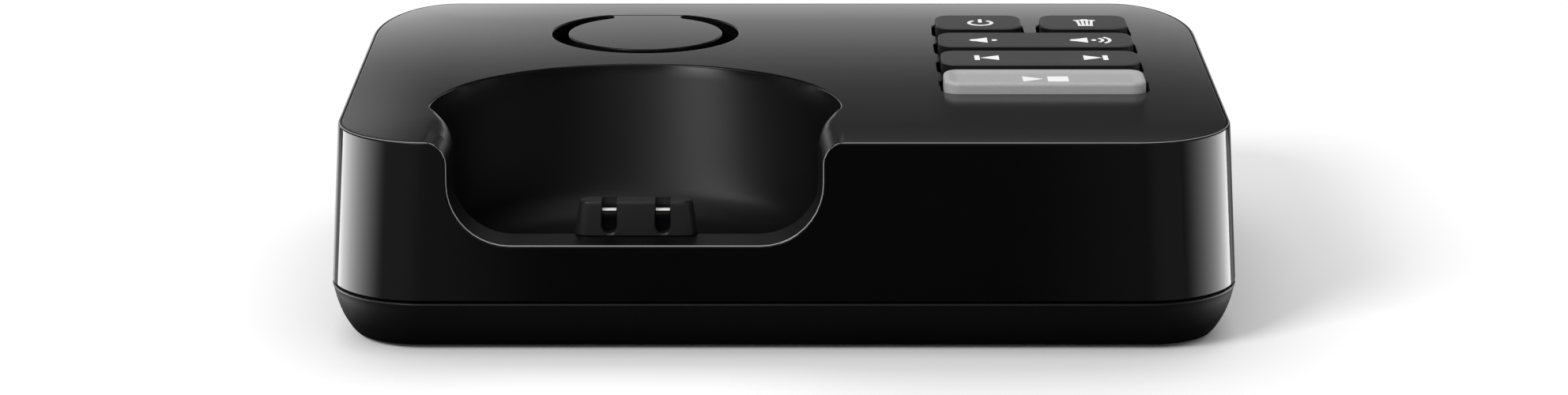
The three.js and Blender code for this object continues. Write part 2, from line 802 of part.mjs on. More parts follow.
function keyCap(key) {
  const top = deckTop + keyProud;
  const section = (shrink, level) => ({ outline: keyOutline(key, -shrink), level });
  const halfStep = Math.SQRT1_2;
  const cap = loft([
    section(0, flangeBottom),
    section(0, top - keyEdgeRadius),
    section(keyEdgeRadius * (1 - halfStep), top - keyEdgeRadius * (1 - halfStep)),
    section(keyEdgeRadius, top),
  ], upright);
  const flange = keyOutline(key, flangeWidth, key.rocker ? rockerTabWidth : key.width);
  return join(cap, prism(flange, flangeBottom, flangeTop));
}

function pagingKey() {
  const quarter = Math.PI / 2;
  const outerRadius = ringRadius - clearance;
  const outline = [
    ...arc(pagingX, pagingY, pagingRadius, pagingRadius,
      quarter + neckHalfAngle, quarter + 2 * Math.PI - neckHalfAngle, 2 * circleSteps),
    ...arc(pagingX, pagingY, outerRadius, outerRadius,
      quarter - neckHalfAngle, quarter + neckHalfAngle, cornerSteps),
  ];
  const low = boardTop + switchBodyHeight + switchStemHeight + switchRelease;
  return join(
    prism(outline, plateBottom, deckTop),
    post(pagingX, pagingY, plungerRadius, low, plateBottom + smallGap),
  );
}

function mainBoard() {
  const side = caseHalfWidth + sideDraft - boardSideMargin;
  const rear = caseHalfDepth + frontDraft - boardRearMargin;
  const front = frontEdge + boardFrontMargin;
  const step = speakerY + speakerRadius + speakerCollarWall + 2 * clearance;
  const innerX = speakerX - speakerRadius - speakerCollarWall - boardSpeakerGap;
  const cornerX = rearCornerWidth - boardSideMargin;
  const cornerY = rearCornerDepth - boardRearMargin;
  const chamfer = frontCornerRadius / 2;
  const outline = [
    [-side + chamfer, front], [innerX, front], [innerX, step], [side, step],
    [side, rear - cornerY], [side - cornerX, rear],
    [-side + cornerX, rear], [-side, rear - cornerY], [-side, front + chamfer],
  ];
  return cut(
    prism(outline, boardBottom, boardTop),
    ...posts(casePosts, bossRadius + clearance, boardBottom - overrun, boardTop + overrun),
  );
}

function speaker() {
  const rimLow = floorTop + smallGap + gasketThickness + smallGap;
  const rimInner = speakerRadius - speakerRimWidth;
  const basketTop = rimLow + speakerHeight - magnetHeight;
  const backHole = coneCoilRadius + 2 * clearance;
  const magnetLow = basketTop + smallGap;
  add('speaker_gasket', turned([
    [rimInner, floorTop + smallGap],
    [speakerRadius, floorTop + smallGap],
    [speakerRadius, floorTop + smallGap + gasketThickness],
    [rimInner, floorTop + smallGap + gasketThickness],
    [rimInner, floorTop + smallGap],
  ], speakerX, speakerY), 'foam');
  add('speaker_frame', turned([
    [rimInner, rimLow],
    [speakerRadius, rimLow],
    [speakerRadius, rimLow + speakerRimThickness],
    [rimInner + basketWall, rimLow + speakerRimThickness],
    [magnetRadius, basketTop],
    [backHole, basketTop],
    [backHole, basketTop - basketWall],
    [magnetRadius - basketWall, basketTop - basketWall],
    [rimInner, rimLow + speakerRimThickness],
    [rimInner, rimLow],
  ], speakerX, speakerY), 'steel');
  const coneLow = rimLow + clearance;
  add('speaker_cone', turned([
    [0, coneLow + coneDepth],
    [coneCoilRadius, coneLow + coneDepth],
    [coneRadius, coneLow],
    [coneRadius, coneLow - coneThickness],
    [coneRadius - coneThickness, coneLow - coneThickness],
    [coneCoilRadius, coneLow + coneDepth - coneThickness],
    [0, coneLow + coneDepth - coneThickness],
  ], speakerX, speakerY), 'conePaper');
  add('speaker_magnet', turned([
    [0, magnetLow],
    [magnetRadius, magnetLow],
    [magnetRadius, magnetLow + magnetHeight],
    [0, magnetLow + magnetHeight],
  ], speakerX, speakerY), 'magnetSteel');
}

function jackBody(jack) {
  const line = jack.name === 'line_jack';
  const width = line ? lineSocketWidth : powerSocketWidth;
  const height = line ? lineSocketHeight : powerSocketHeight;
  const sill = onBoard + socketSill;
  return cut(
    brick(jack.x, jackBack - jackDepth / 2, jack.width, jackDepth, onBoard, jack.height),
    brick(jack.x, jackBack, width, 2 * socketDepth, sill, height),
    brick(jack.x, jackBack, latchWidth, 2 * socketDepth, sill - latchRise, height),
  );
}

function radioShield() {
  const [x, y] = placeAt(placeShares.shield);
  const width = shieldWidthShare * caseHalfWidth;
  const length = shieldLengthShare * (rearEdge - frontEdge);
  const inside = onBoard + shieldHeight - shieldWall;
  return cut(
    brick(x, y, width, length, onBoard, shieldHeight),
    brick(x, y, width - 2 * shieldWall, length - 2 * shieldWall, 0, inside),
  );
}

// An inverted-F antenna: a long top limb on a feed leg and a ground leg.
function antenna(side) {
  const [sideways, y] = placeAt(placeShares.antenna);
  const x = side * sideways;
  const top = onBoard + antennaHeight;
  const outline = [
    [y - antennaLength / 2, top - antennaLimb], [y + antennaLimb, top - antennaLimb],
    [y + antennaLimb, onBoard], [y + 2 * antennaLimb, onBoard],
    [y + 2 * antennaLimb, top - antennaLimb], [y + antennaLength / 2 - antennaLimb, top - antennaLimb],
    [y + antennaLength / 2 - antennaLimb, onBoard], [y + antennaLength / 2, onBoard],
    [y + antennaLength / 2, top], [y - antennaLength / 2, top],
  ];
  return prism(outline, x - antennaThickness / 2, x + antennaThickness / 2, acrossWidth);
}

function keyRibbon() {
  const bend = ribbonSlack + ribbonThickness;
  const start = keyPostRear + keyPostRadius + clearance;
  const low = onBoard + ribbonThickness;
  const path = [
    [start - ribbonLanding, keyBoardBottom - smallGap],
    ...arc(start, keyBoardBottom - smallGap - bend, bend, bend, Math.PI / 2, 0, arcSteps),
    ...arc(start + 2 * bend, low + bend, bend, bend, Math.PI, 3 * Math.PI / 2, arcSteps),
  ];
  const width = ribbonWidthShare * keyBlockWidth;
  return strip(path, ribbonThickness, keyBlockX + width / 4, width);
}

function keyMat() {
  const low = keyRows[0] - keyDepth / 2;
  const high = keyRows[3] + keyDepth / 2;
  const dome = (x, y) => turned([
    [0, matBottom], [domeRadius, matBottom], [domeRadius, matTop], [domeTopRadius, domeTop], [0, domeTop],
  ], x, y, smallSteps);
  const domes = keys.flatMap((key) => {
    const offsets = key.rocker ? [-key.width / 3, key.width / 3] : [0];
    return offsets.map((offset) => dome(key.x + offset, key.y));
  });
  return join(block(keyLeft, keyRight, low, high, matBottom, matTop), ...domes);
}

function keyBoard() {
  const side = keyPostRadius + clearance;
  return cut(
    block(
      keyPostLeft - side, keyPostRight + side, keyPostFront - side, keyPostRear + side,
      keyBoardBottom, keyBoardTop,
    ),
    ...posts(keyPosts, keyScrewRadius + clearance, keyBoardBottom - overrun, matTop),
  );
}

function screw(headRadius, headHeight, radius, length) {
  return turned([
    [0, 0], [headRadius, 0], [headRadius, headHeight], [radius, headHeight], [radius, headHeight + length],
    [0, headHeight + length],
  ], 0, 0, smallSteps);
}

function pagingSwitch() {
  const bodyTop = onBoard + switchBodyHeight;
  return join(
    brick(pagingX, pagingY, switchSize, switchSize, onBoard, switchBodyHeight),
    post(pagingX, pagingY, switchStemRadius, bodyTop - smallGap, bodyTop + switchStemHeight - smallGap),
  );
}

// Chips and cans on the main board: place, width, depth, height.
const boardParts = {
  processor_chip: [placeShares.processor, processorSize, processorSize, processorHeight],
  memory_chip: [placeShares.memory, memoryWidth, memoryDepth, memoryHeight],
  crystal: [placeShares.crystal, crystalLength, crystalWidth, crystalHeight],
};

add('top_cover', topCover(), 'deckSatin');
add('gloss_band', glossBand(), 'bandGloss');
add('bottom_tray', bottomTray(), 'trayMatte');
add('contact_block', contactBlock(), 'trayMatte');
for (const [side, x] of contactXs) add(`contact_${side}`, contactLeaf(x), 'contactMetal');
for (const key of keys) add(key.name, keyCap(key), key.name === 'play_key' ? 'keySilver' : 'keyGrey');
add('paging_key', pagingKey(), 'deckSatin');
add('paging_switch', pagingSwitch(), 'chipBlack');

const footShape = prism(roundedRectangle(footWidth, footDepth, footCornerRadius), 0, trayBottom + footSunk);
for (const [name, x, y] of feet) add(name, footShape, 'footRubber', x, y);

const caseScrewSeat = trayBottom + counterboreDepth - caseScrewHeadHeight - smallGap;
const caseScrew = screw(caseScrewHeadRadius, caseScrewHeadHeight, caseScrewRadius, caseScrewLength);
for (const [corner, x, y] of casePosts) add(`case_screw_${corner}`, caseScrew, 'steel', x, y, caseScrewSeat);

const keyScrewSeat = keyBoardBottom - smallGap - keyScrewHeadHeight;
const keyScrew = screw(keyScrewHeadRadius, keyScrewHeadHeight, keyScrewRadius, keyScrewLength);
for (const [corner, x, y] of keyPosts) add(`key_screw_${corner}`, keyScrew, 'steel', x, y, keyScrewSeat);

add('main_board', mainBoard(), 'boardGreen');
add('key_board', keyBoard(), 'boardGreen');
add('key_mat', keyMat(), 'silicone');
add('key_ribbon', keyRibbon(), 'ribbonFilm');
speaker();
for (const jack of jacks) add(jack.name, jackBody(jack), 'chipBlack');
add('radio_shield', radioShield(), 'steel');
for (const [name, [shares, width, depth, height]] of Object.entries(boardParts)) {
  const finish = name === 'crystal' ? 'steel' : 'chipBlack';
  add(name, brick(...placeAt(shares), width, depth, onBoard, height), finish);
}
const [capacitorX, capacitorY] = placeAt(placeShares.capacitor);
const capacitor = post(0, 0, capacitorRadius, onBoard, onBoard + capacitorHeight);
for (const [name, offset] of [['capacitor_left', 0], ['capacitor_right', capacitorSpacing]]) {
  add(name, capacitor, 'capacitorSleeve', capacitorX + offset, capacitorY);
}
add('antenna_left', antenna(-1), 'steel');
add('antenna_right', antenna(1), 'steel');

export default base;
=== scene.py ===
# %% [markdown]
# # The charging base of a cordless telephone
# The base is a low black box with rounded corners. A cradle is sunk into its deck at the left, with two
# spring contacts on a small block, a paging disc lies behind the cradle, and the keys of the answering
# machine stand in four rows at the right. The packed CAD part is the frame here: it says where each
# piece is and how it moves. This lesson gives the pieces their rounded edges, their fine detail and
# their finishes, and then lights them as in the photograph.

# %% Load the frame
import math
import bmesh
import bpy
from mathutils import Matrix, Vector


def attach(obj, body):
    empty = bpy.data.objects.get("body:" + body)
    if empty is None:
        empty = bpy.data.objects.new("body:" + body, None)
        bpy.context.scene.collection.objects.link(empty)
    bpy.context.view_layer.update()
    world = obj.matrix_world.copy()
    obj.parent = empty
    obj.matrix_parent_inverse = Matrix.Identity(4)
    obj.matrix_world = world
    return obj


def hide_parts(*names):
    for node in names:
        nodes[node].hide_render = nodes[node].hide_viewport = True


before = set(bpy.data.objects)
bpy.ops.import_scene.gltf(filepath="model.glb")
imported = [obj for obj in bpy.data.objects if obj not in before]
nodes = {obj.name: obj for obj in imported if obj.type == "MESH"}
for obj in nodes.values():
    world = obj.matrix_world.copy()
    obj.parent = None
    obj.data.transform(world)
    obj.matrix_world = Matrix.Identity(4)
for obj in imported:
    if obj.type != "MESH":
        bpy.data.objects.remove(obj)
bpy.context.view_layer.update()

# %% [markdown]
# ## The sizes that the pieces share
# A part designer works in millimetres, and Blender here in metres. The pieces are drawn in
# millimetres with the part's own sizes, and one step at the end of each piece shrinks it. The case has
# its tight corners at the front and long, soft ones at the back, and its sides flare towards the
# seam between the gloss band and the tray.

# %% The case's sizes in millimetres
HALF_WIDTH, HALF_DEPTH = 70.55, 52.0
FRONT = -HALF_DEPTH
# Heights of the deck's edge and middle, and of the underside of its plate.
EDGE, DECK, PLATE_LOW = 34.4, 34.65, 32.7
# From the deck's edge down to the seam, the sides and the ends flare by these.
SEAM_DROP, SIDE_FLARE, END_FLARE = 25.4, 1.3, 1.5
# The front corners are round. The rear ones are longer than they are wide.
FRONT_CORNER, REAR_WIDTH, REAR_LENGTH, LEAST_CORNER = 15.5, 13, 25.5, 0.3
CORNER_STEPS = 14
QUARTER = math.pi / 2
print("at the deck's edge the case is", 2 * HALF_WIDTH, "by", 2 * HALF_DEPTH, "mm")


# %% Outlines seen from above
def arc(x, y, across, along, start, end, steps):
    """Points on an ellipse about (x, y), from one angle to another."""
    angles = [start + (end - start) * i / steps for i in range(steps + 1)]
    return [(x + across * math.cos(a), y + along * math.sin(a)) for a in angles]


def plan(x, y, inset):
    """The plan of a half width and a half depth, counter-clockwise from the front right corner."""
    tight, wide, deep = (max(r - inset, LEAST_CORNER) for r in (FRONT_CORNER, REAR_WIDTH, REAR_LENGTH))
    return (arc(x - tight, tight - y, tight, tight, -QUARTER, 0, CORNER_STEPS)
            + arc(x - wide, y - deep, wide, deep, 0, QUARTER, CORNER_STEPS)
            + arc(wide - x, y - deep, wide, deep, QUARTER, 2 * QUARTER, CORNER_STEPS)
            + arc(tight - x, tight - y, tight, tight, 2 * QUARTER, 3 * QUARTER, CORNER_STEPS))


def case_plan(height, inset):
    """The plan at a height between the tray and the deck, drawn in by an inset."""
    flare = (EDGE - height) / SEAM_DROP
    return plan(HALF_WIDTH + SIDE_FLARE * flare - inset, HALF_DEPTH + END_FLARE * flare - inset, inset)


def at_height(points, height):
    """The points of a plan, all at one height."""
    return [(x, y, height) for x, y in points]


def rounded(width, depth, radius, x=0.0, y=0.0, steps=6):
    """A rectangle with round corners about (x, y)."""
    a, b = width / 2 - radius, depth / 2 - radius
    corners = [(a, -b, -1), (a, b, 0), (-a, b, 1), (-a, -b, 2)]
    return [p for cx, cy, turn in corners
            for p in arc(x + cx, y + cy, radius, radius, turn * QUARTER, (turn + 1) * QUARTER, steps)]


print("points in the case's plan:", len(case_plan(EDGE, 0)))

# %% [markdown]
# ## Skins and carving
# Most pieces here are mouldings: a ring of points that changes a little from level to level. In
# Blender a circle gives the first ring, extruding its edges gives each next one, and a face closes
# each end. Openings come from the Boolean modifier, whose Manifold solver is quick and gives a closed
# result. Modelling them by hand with cuts would take far longer and would not follow the curved rim.

# %% A skin over rings of points
def points_of(geometry):
    return [g for g in geometry if isinstance(g, bmesh.types.BMVert)]


def skin(sections):
    """A closed mesh: the first ring is capped, extruded to each next ring, and capped again."""
    bm = bmesh.new()
    ring = bmesh.ops.create_circle(bm, cap_ends=True, segments=len(sections[0]), radius=1)["verts"]
    for vertex, point in zip(ring, sections[0]):
        vertex.co = point
    place, edges = {v: i for i, v in enumerate(ring)}, list(bm.edges)
    for section in sections[1:]:
        made = bmesh.ops.extrude_edge_only(bm, edges=edges)["geom"]
        fresh = set(points_of(made))
        edges = [g for g in made if isinstance(g, bmesh.types.BMEdge) and fresh.issuperset(g.verts)]
        place = {v: next(place[o] for o in (e.other_vert(v) for e in v.link_edges) if o in place)
                 for v in fresh}
        for vertex, i in place.items():
            vertex.co = section[i]
    bmesh.ops.contextual_create(bm, geom=edges)
    bmesh.ops.recalc_face_normals(bm, faces=bm.faces)
    return bm


def prism(points, low, high):
    return skin([at_height(points, low), at_height(points, high)])


def peg(x, y, radius, low, high, steps=32):
    return prism(arc(x, y, radius, radius, 0, 2 * math.pi * (1 - 1 / steps), steps - 1), low, high)


print("a prism on a rounded square has", len(prism(rounded(9, 9, 1), 0, 9).faces), "faces")


# %% The Boolean modifier, applied
WELD = 0.0005


def loose_object(bm, name="loose"):
    mesh = bpy.data.meshes.new(name)
    bm.to_mesh(mesh)
    made = bpy.data.objects.new(name, mesh)
    bpy.context.scene.collection.objects.link(made)
    return made


def carve(body, how, *tools):
    """The body after one Boolean step for each tool: DIFFERENCE, UNION or INTERSECT."""
    work = loose_object(body)
    for tool in tools:
        other = loose_object(tool)
        step = work.modifiers.new("step", "BOOLEAN")
        step.operation, step.object, step.solver = how, other, "MANIFOLD"
        ready = work.evaluated_get(bpy.context.evaluated_depsgraph_get())
        result = bpy.data.meshes.new_from_object(ready)
        work.modifiers.clear()
        work.data = result
        bpy.data.objects.remove(other)
    done = bmesh.new()
    done.from_mesh(work.data)
    bpy.data.objects.remove(work)
    bmesh.ops.remove_doubles(done, verts=done.verts, dist=WELD)
    return done


def volume(bm):
    """Cubic centimetres, from a mesh in millimetres."""
    return round(bm.calc_volume(signed=True) / 1000, 2)


drilled = carve(prism(rounded(9, 9, 1), 0, 9), "DIFFERENCE", peg(0, 0, 2, -1, 10))
print("a drilled test block holds", volume(drilled), "cm3")

# %% [markdown]
# ## Finishes as arithmetic
# A finish is a tree of shader nodes. Drawn by hand, a tree of sums and noises is hard to read, so a small
# class stands for a socket: adding or multiplying two of them adds the Math node, and one method adds
# any other node. All patterns read Object coordinates, which are in metres and stay with the piece.

# %% A socket that can be reckoned with
class Wire:
    """A socket of a shader tree. Sums and products of wires and numbers add Math nodes."""

    def __init__(self, tree, socket):
        self.tree, self.socket = tree, socket

    def node(self, kind, inputs, output=0, **settings):
        made = self.tree.nodes.new(kind)
        for name, value in settings.items():
            setattr(made, name, value)
        for key, value in inputs.items():
            if isinstance(value, Wire):
                self.tree.links.new(value.socket, made.inputs[key])
            else:
                made.inputs[key].default_value = value
        return Wire(self.tree, made.outputs[output])

    def math(self, operation, *values):
        return self.node("ShaderNodeMath", dict(enumerate(values)), operation=operation)

    def __add__(self, other):
        return self.math("ADD", self, other)

    def __mul__(self, other):
        return self.math("MULTIPLY", self, other)

    def __gt__(self, other):
        return self.math("GREATER_THAN", self, other)

    def __lt__(self, other):
        return self.math("LESS_THAN", self, other)

    __radd__, __rmul__ = __add__, __mul__

    def noise(self, size_mm, detail=2.0, rough=0.5):
        """Cloudy values from 0 to 1 whose blobs are about size_mm across."""
        return self.node("ShaderNodeTexNoise", {"Vector": self, "Scale": 1000 / size_mm,
                                                "Detail": detail, "Roughness": rough})

    def stretched(self, x=1.0, y=1.0, z=1.0):
        return self.node("ShaderNodeMapping", {"Vector": self, "Scale": (x, y, z)})

    def part(self, axis):
        """One coordinate, in millimetres."""
        return self.node("ShaderNodeSeparateXYZ", {0: self}, axis) * 1000

    def blend(self, low, high):
        """A colour between two, by this wire's value."""
        return self.node("ShaderNodeMix", {0: self, 6: low, 7: high}, 2, data_type="RGBA")

    def between(self, low, high):
        """This wire's 0 to 1 as a number from low to high."""
        return self * (high - low) + low


print("a wire can be asked for:", [name for name in vars(Wire) if name[0] != "_"])


# %% Colours as they look on a screen
def grey(level, tint=(1, 1, 1)):
    """A colour from a brightness of 0 to 255, as it looks on a screen."""
    v = level / 255
    linear = v / 12.92 if v <= 0.04045 else ((v + 0.055) / 1.055) ** 2.4
    return tuple(linear * t for t in tint) + (1,)


print("a mid grey is written as", round(grey(128)[0], 3))


# %% A finish with its shader
class Finish:
    """A material with one Principled shader, whose sockets are set by name."""

    def __init__(self, name, **steady):
        self.material = bpy.data.materials.new(name)
        self.material.use_nodes = True
        self.tree = self.material.node_tree
        self.shader = self.tree.nodes["Principled BSDF"]
        self.place = Wire(self.tree, self.tree.nodes.new("ShaderNodeTexCoord").outputs["Object"])
        self.set(**steady)

    def set(self, **values):
        for name, value in values.items():
            socket = self.shader.inputs[name.replace("_", " ")]
            if isinstance(value, Wire):
                self.tree.links.new(value.socket, socket)
            else:
                socket.default_value = value
        return self

    def fed(self, name):
        """The wire that feeds a socket now, so that a mask can change what it carries."""
        return Wire(self.tree, self.shader.inputs[name].links[0].from_socket)

    def bump(self, height, depth_mm):
        """Relief from a wire of heights between 0 and 1, which is depth_mm deep."""
        return self.set(Normal=height.node("ShaderNodeBump", {"Height": height, "Strength": 1.0,
                                                              "Distance": depth_mm / 1000}))


print("a finish can be asked to:", [name for name in vars(Finish) if name[0] != "_"])

# %% [markdown]
# ## Moulded plastics
# Five black and grey plastics make up what is seen. The deck has a satin grain of about a fifth of a
# millimetre from the etched mould, the band round the case is polished, the tray below it is matt and
# a little coarser, the contact block is matt as well, and the keys are soft grey. Each gets a grain as
# bump, and the slight drift in colour and roughness that no moulding is without. Masks on height and
# depth change the finish from place to place: the cradle is duller than the deck and has painted shade
# in its hollow, a little less on the ledge, the band has a duller lip with a painted highlight on its
# rounded rim, and the keys' sides are nearly black.

# %% Satin, gloss and matt
# The size of the drift's clouds, and how much of the grain's range they take in the roughness.
CLOUD_MM, CLOUD_SHARE = 14, 0.6


def moulded(name, level, rough, grain_mm, grain_depth, drift=0.12, tint=(1, 1, 1), sheen_grain=0.03):
    """A moulded plastic: fine grain, with cloudy drift in its colour and roughness."""
    made = Finish(name)
    cloud = made.place.noise(CLOUD_MM, 3)
    fine = made.place.noise(grain_mm, 1)
    made.set(Base_Color=cloud.blend(grey(level * (1 - drift), tint), grey(level * (1 + drift), tint)),
             Roughness=fine.between(rough - sheen_grain, rough + sheen_grain)
             + cloud.between(-sheen_grain, sheen_grain) * CLOUD_SHARE)
    return made.bump(fine, grain_depth)


tray_matte = moulded("tray_matte", 11, 0.42, 0.3, 0.012)
block_matte = moulded("block_matte", 29, 0.34, 0.25, 0.008)
deck_satin = moulded("deck_satin", 14, 0.2, 0.2, 0.0028, sheen_grain=0.008)
GLOSS_ROUGH = 0.07
band_gloss = moulded("band_gloss", 7, GLOSS_ROUGH, 1.4, 0.0006)
key_grey = moulded("key_grey", 68, 0.6, 0.2, 0.01)
plastics = (tray_matte, block_matte, deck_satin, band_gloss, key_grey)
print("plastics:", *(made.material.name for made in plastics))

# %% Places that differ on the same moulding: painted shade in the cradle, a painted highlight on the band's rim
# The cradle's duller finish and painted shade fade in between two heights. The ledge, painted less dark,
# lies below a height and in front of a depth.
CRADLE_TOP, CRADLE_DEEP = 34.2, 32.5
LEDGE_BELOW, LEDGE_BEFORE = 30, -45.4
LIP_ABOVE, KEY_SIDE_BELOW = 34.2, 36.02
# By how much the cradle and the lip are rougher than the rest.
DULLER = 0.2
height, along = deck_satin.place.part(2), deck_satin.place.part(1)
# Painted shade: the cradle's colour is darkened to grey 6 and the ledge's to grey 9, for the shade in the
# recess. The rise in roughness is a duller finish.
cradle_shade_and_dull = height.node("ShaderNodeMapRange", {0: height, 1: CRADLE_TOP, 2: CRADLE_DEEP, 3: 0.0, 4: 1.0})
ledge_shade = (height < LEDGE_BELOW) * (along < LEDGE_BEFORE)
deck_satin.set(Base_Color=ledge_shade.blend(cradle_shade_and_dull.blend(deck_satin.fed("Base Color"), grey(6)), grey(9)),
               Roughness=deck_satin.fed("Roughness") + cradle_shade_and_dull * DULLER)
on_lip = band_gloss.place.part(2) > LIP_ABOVE
# Painted highlight: the faces of the band's rounded rim are painted pale grey 140 to stand for the bright
# line of light along it.
rim_highlight = on_lip.node("ShaderNodeAttribute", {}, "Fac", attribute_name="rim_highlight")
band_gloss.set(Base_Color=rim_highlight.blend(on_lip.blend(band_gloss.fed("Base Color"), grey(20)), grey(140)),
               Roughness=on_lip * DULLER + GLOSS_ROUGH)
on_side = key_grey.place.part(2) < KEY_SIDE_BELOW
key_grey.set(Base_Color=on_side.blend(key_grey.fed("Base Color"), grey(13)))
print("masks on:", deck_satin.material.name, band_gloss.material.name, key_grey.material.name)

# %% [markdown]
# ## Paints and metals
# The play and stop key is painted silver: a slightly metallic base with flakes, which are a fine noise in
# roughness and colour. The printed signs are a pale ink. Contacts, screws and cans are metals, told
# apart by how fine their brushing is. A contact is painted dark below its crest as painted shade, so only
# the crest shines.

# %% Silver paint, ink and metals
# Below this height a contact is painted dark, as painted shade.
LEAF_SHADE_BELOW = 22.08


def metal(name, level, rough, tint=(1, 1, 1), brush=(1, 1, 1), metallic=1.0):
    """A metal or metallic paint whose fine streaks run along the axis with the small brush number."""
    made = Finish(name, Metallic=metallic)
    streak = made.place.stretched(*brush).noise(0.35, 3, 0.6)
    cloud = made.place.noise(6, 2)
    made.set(Base_Color=streak.blend(grey(level * 0.93, tint), grey(min(level * 1.05, 255), tint)),
             Roughness=streak.between(rough - 0.05, rough + 0.05) + cloud.between(-0.03, 0.03))
    return made.bump(streak, 0.003)


silver_paint = metal("silver_paint", 178, 0.5, metallic=0.1)
contact_metal = metal("contact_metal", 250, 0.3, (1, 0.99, 0.96), (1, 0.1, 0.1), 0.35)
# Painted shade: below the crest the leaf's metal is painted dark grey 14, where it faces down into shade.
leaf_shade = contact_metal.place.part(2) < LEAF_SHADE_BELOW
contact_metal.set(Base_Color=leaf_shade.blend(contact_metal.fed("Base Color"), grey(14)))
steel = metal("steel", 190, 0.32, brush=(0.3, 1, 1))
zinc = metal("zinc", 168, 0.42, (1, 1, 0.97), (1, 0.2, 1))
magnet_steel = metal("magnet_steel", 120, 0.4, brush=(1, 1, 0.2), metallic=0.9)
ink = moulded("ink", 242, 0.6, 0.12, 0.002, drift=0.02)
print("metals:", silver_paint.material.name, contact_metal.material.name, steel.material.name)

# %% [markdown]
# ## Rubber, card and the boards inside
# The inside shows only through the slots and sockets, but each piece still gets its own finish: pores in
# the foam ring, fibres in the paper cone, copper tracks under green lacquer on the boards, and
# foil lines in the ribbon. Stripes come from a wave of one coordinate, and cells from Voronoi.

# %% Rubber, foam, silicone, paper and chips
def pored(name, level, rough, size_mm, depth, tint=(1, 1, 1)):
    """A material with open cells, such as foam or cast rubber."""
    made = Finish(name, Roughness=rough)
    cells = made.place.node("ShaderNodeTexVoronoi", {"Vector": made.place, "Scale": 1000 / size_mm})
    made.set(Base_Color=cells.blend(grey(level * 0.7, tint), grey(level * 1.2, tint)))
    return made.bump(cells, depth)


foot_rubber = pored("foot_rubber", 30, 0.85, 0.5, 0.02)
foam = pored("foam", 42, 0.95, 0.6, 0.12)
silicone = moulded("silicone", 142, 0.62, 0.4, 0.01, tint=(0.98, 1, 1.02))
chip_black = moulded("chip_black", 24, 0.58, 0.18, 0.01)
sleeve = moulded("capacitor_sleeve", 42, 0.35, 0.5, 0.006, tint=(0.8, 0.9, 1.5))
paper = Finish("cone_paper", Roughness=0.88)
fibre = paper.place.stretched(1, 1, 0.3).noise(0.9, 5, 0.7)
paper.set(Base_Color=fibre.blend(grey(38, (1.1, 1, 0.85)), grey(66, (1.1, 1, 0.85)))).bump(fibre, 0.08)
print("soft pieces:", foot_rubber.material.name, foam.material.name, paper.material.name)


# %% Boards and ribbon
def tracked(name, lacquer, copper, pitch_mm, share):
    """Stripes of copper under lacquer, broken up by a coarse noise."""
    made = Finish(name, Roughness=0.42)
    patch = made.place.noise(9, 0) > 0.5
    wave = made.place.part(0) * (2 * math.pi / pitch_mm) + patch * 3.0
    lines = wave.math("SINE", wave) > share
    return made.set(Base_Color=lines.blend(lacquer, copper)).bump(lines, 0.02)


board_green = tracked("board_green", (0.006, 0.07, 0.022, 1), (0.02, 0.16, 0.05, 1), 2.2, 0.3)
ribbon_film = tracked("ribbon_film", (0.42, 0.2, 0.035, 1), (0.2, 0.08, 0.02, 1), 1.0, 0.2)
print("boards:", board_green.material.name, ribbon_film.material.name)

# %% [markdown]
# ## Putting a piece into the frame
# Every new piece ends the same way: its mesh is shrunk to metres, its normals face out, it gets its
# finish, rides on its body and stands for its CAD node. Flat faces and fillets meet without a crease if
# the corner normals follow the large faces, which the Weighted Normal modifier does. Edges past an
# angle stay sharp.

# %% Finish a piece
def piece(name, bm, finish, body, stands_for=(), crease=32):
    """Turns a bmesh in millimetres into a piece of the part."""
    bmesh.ops.scale(bm, vec=(0.001,) * 3, verts=bm.verts)
    mesh = bpy.data.meshes.new(name)
    bm.to_mesh(mesh)
    bm.free()
    mesh.shade_smooth()
    mesh.set_sharp_from_angle(angle=math.radians(crease))
    made = bpy.data.objects.new(name, mesh)
    bpy.context.scene.collection.objects.link(made)
    made.data.materials.append(finish.material)
    even = made.modifiers.new("even", "WEIGHTED_NORMAL")
    even.keep_sharp, even.weight = True, 100
    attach(made, body)
    if stands_for:
        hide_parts(*stands_for)
    print(name, "has", len(mesh.polygons), "faces")
    return made


# %% [markdown]
# ## The cradle's space
# The cradle is the main shape. Seen from above, its rim is a wide oval that opens to the front
# in a channel as wide as the handset. The deck rolls over into the channel, and this roll dies away
# where the oval is widest. The back wall slopes down to the pit behind the ledge. A skin of level
# slices gives the oval, each slice a little smaller, and a second skin of upright slices gives the
# channel. Both take a growth, so that the same shapes also make the cradle's outer wall.

# %% A smooth line through a few points
def smooth_line(points, per_span=6):
    """A Catmull-Rom line through the points, which may have any number of coordinates."""
    line = []
    for i in range(len(points) - 1):
        a, b, c, d = (points[min(max(i + k, 0), len(points) - 1)] for k in (-1, 0, 1, 2))
        for step in range(per_span):
            t = step / per_span
            line.append(tuple(
                0.5 * (2 * q + (r - p) * t + (2 * p - 5 * q + 4 * r - s) * t * t
                       + (3 * q - p - 3 * r + s) * t ** 3) for p, q, r, s in zip(a, b, c, d)))
    return line + [tuple(points[-1])]


print("a smooth line through three points has", len(smooth_line([(0, 0), (1, 2), (2, 0)])), "points")


# %% The cradle's sizes
# The middles of the bowl and of the channel, and how far behind the front the one has become the other.
BOWL_X, CHANNEL_X, SHIFT_END = -23.8, -23.2, 24
# The ledge's depth and height, the bowl's reach behind the front and its depth below the deck.
LEDGE, LEDGE_TOP, REACH, BOWL_DEPTH = 6.4, 18.1, 54.1, 24.0
# The roll's radius at the channel, along the bowl's back, and where the bowl is widest.
ROLL, LEAST_ROLL, THIN_ROLL = 3.5, 0.4, 0.45
# The bowl's half width, how far behind the front that is, and the half width that a growth is a share of.
BOWL_HALF, BOWL_WIDEST, SPREAD = 32.85, 24.2, 33
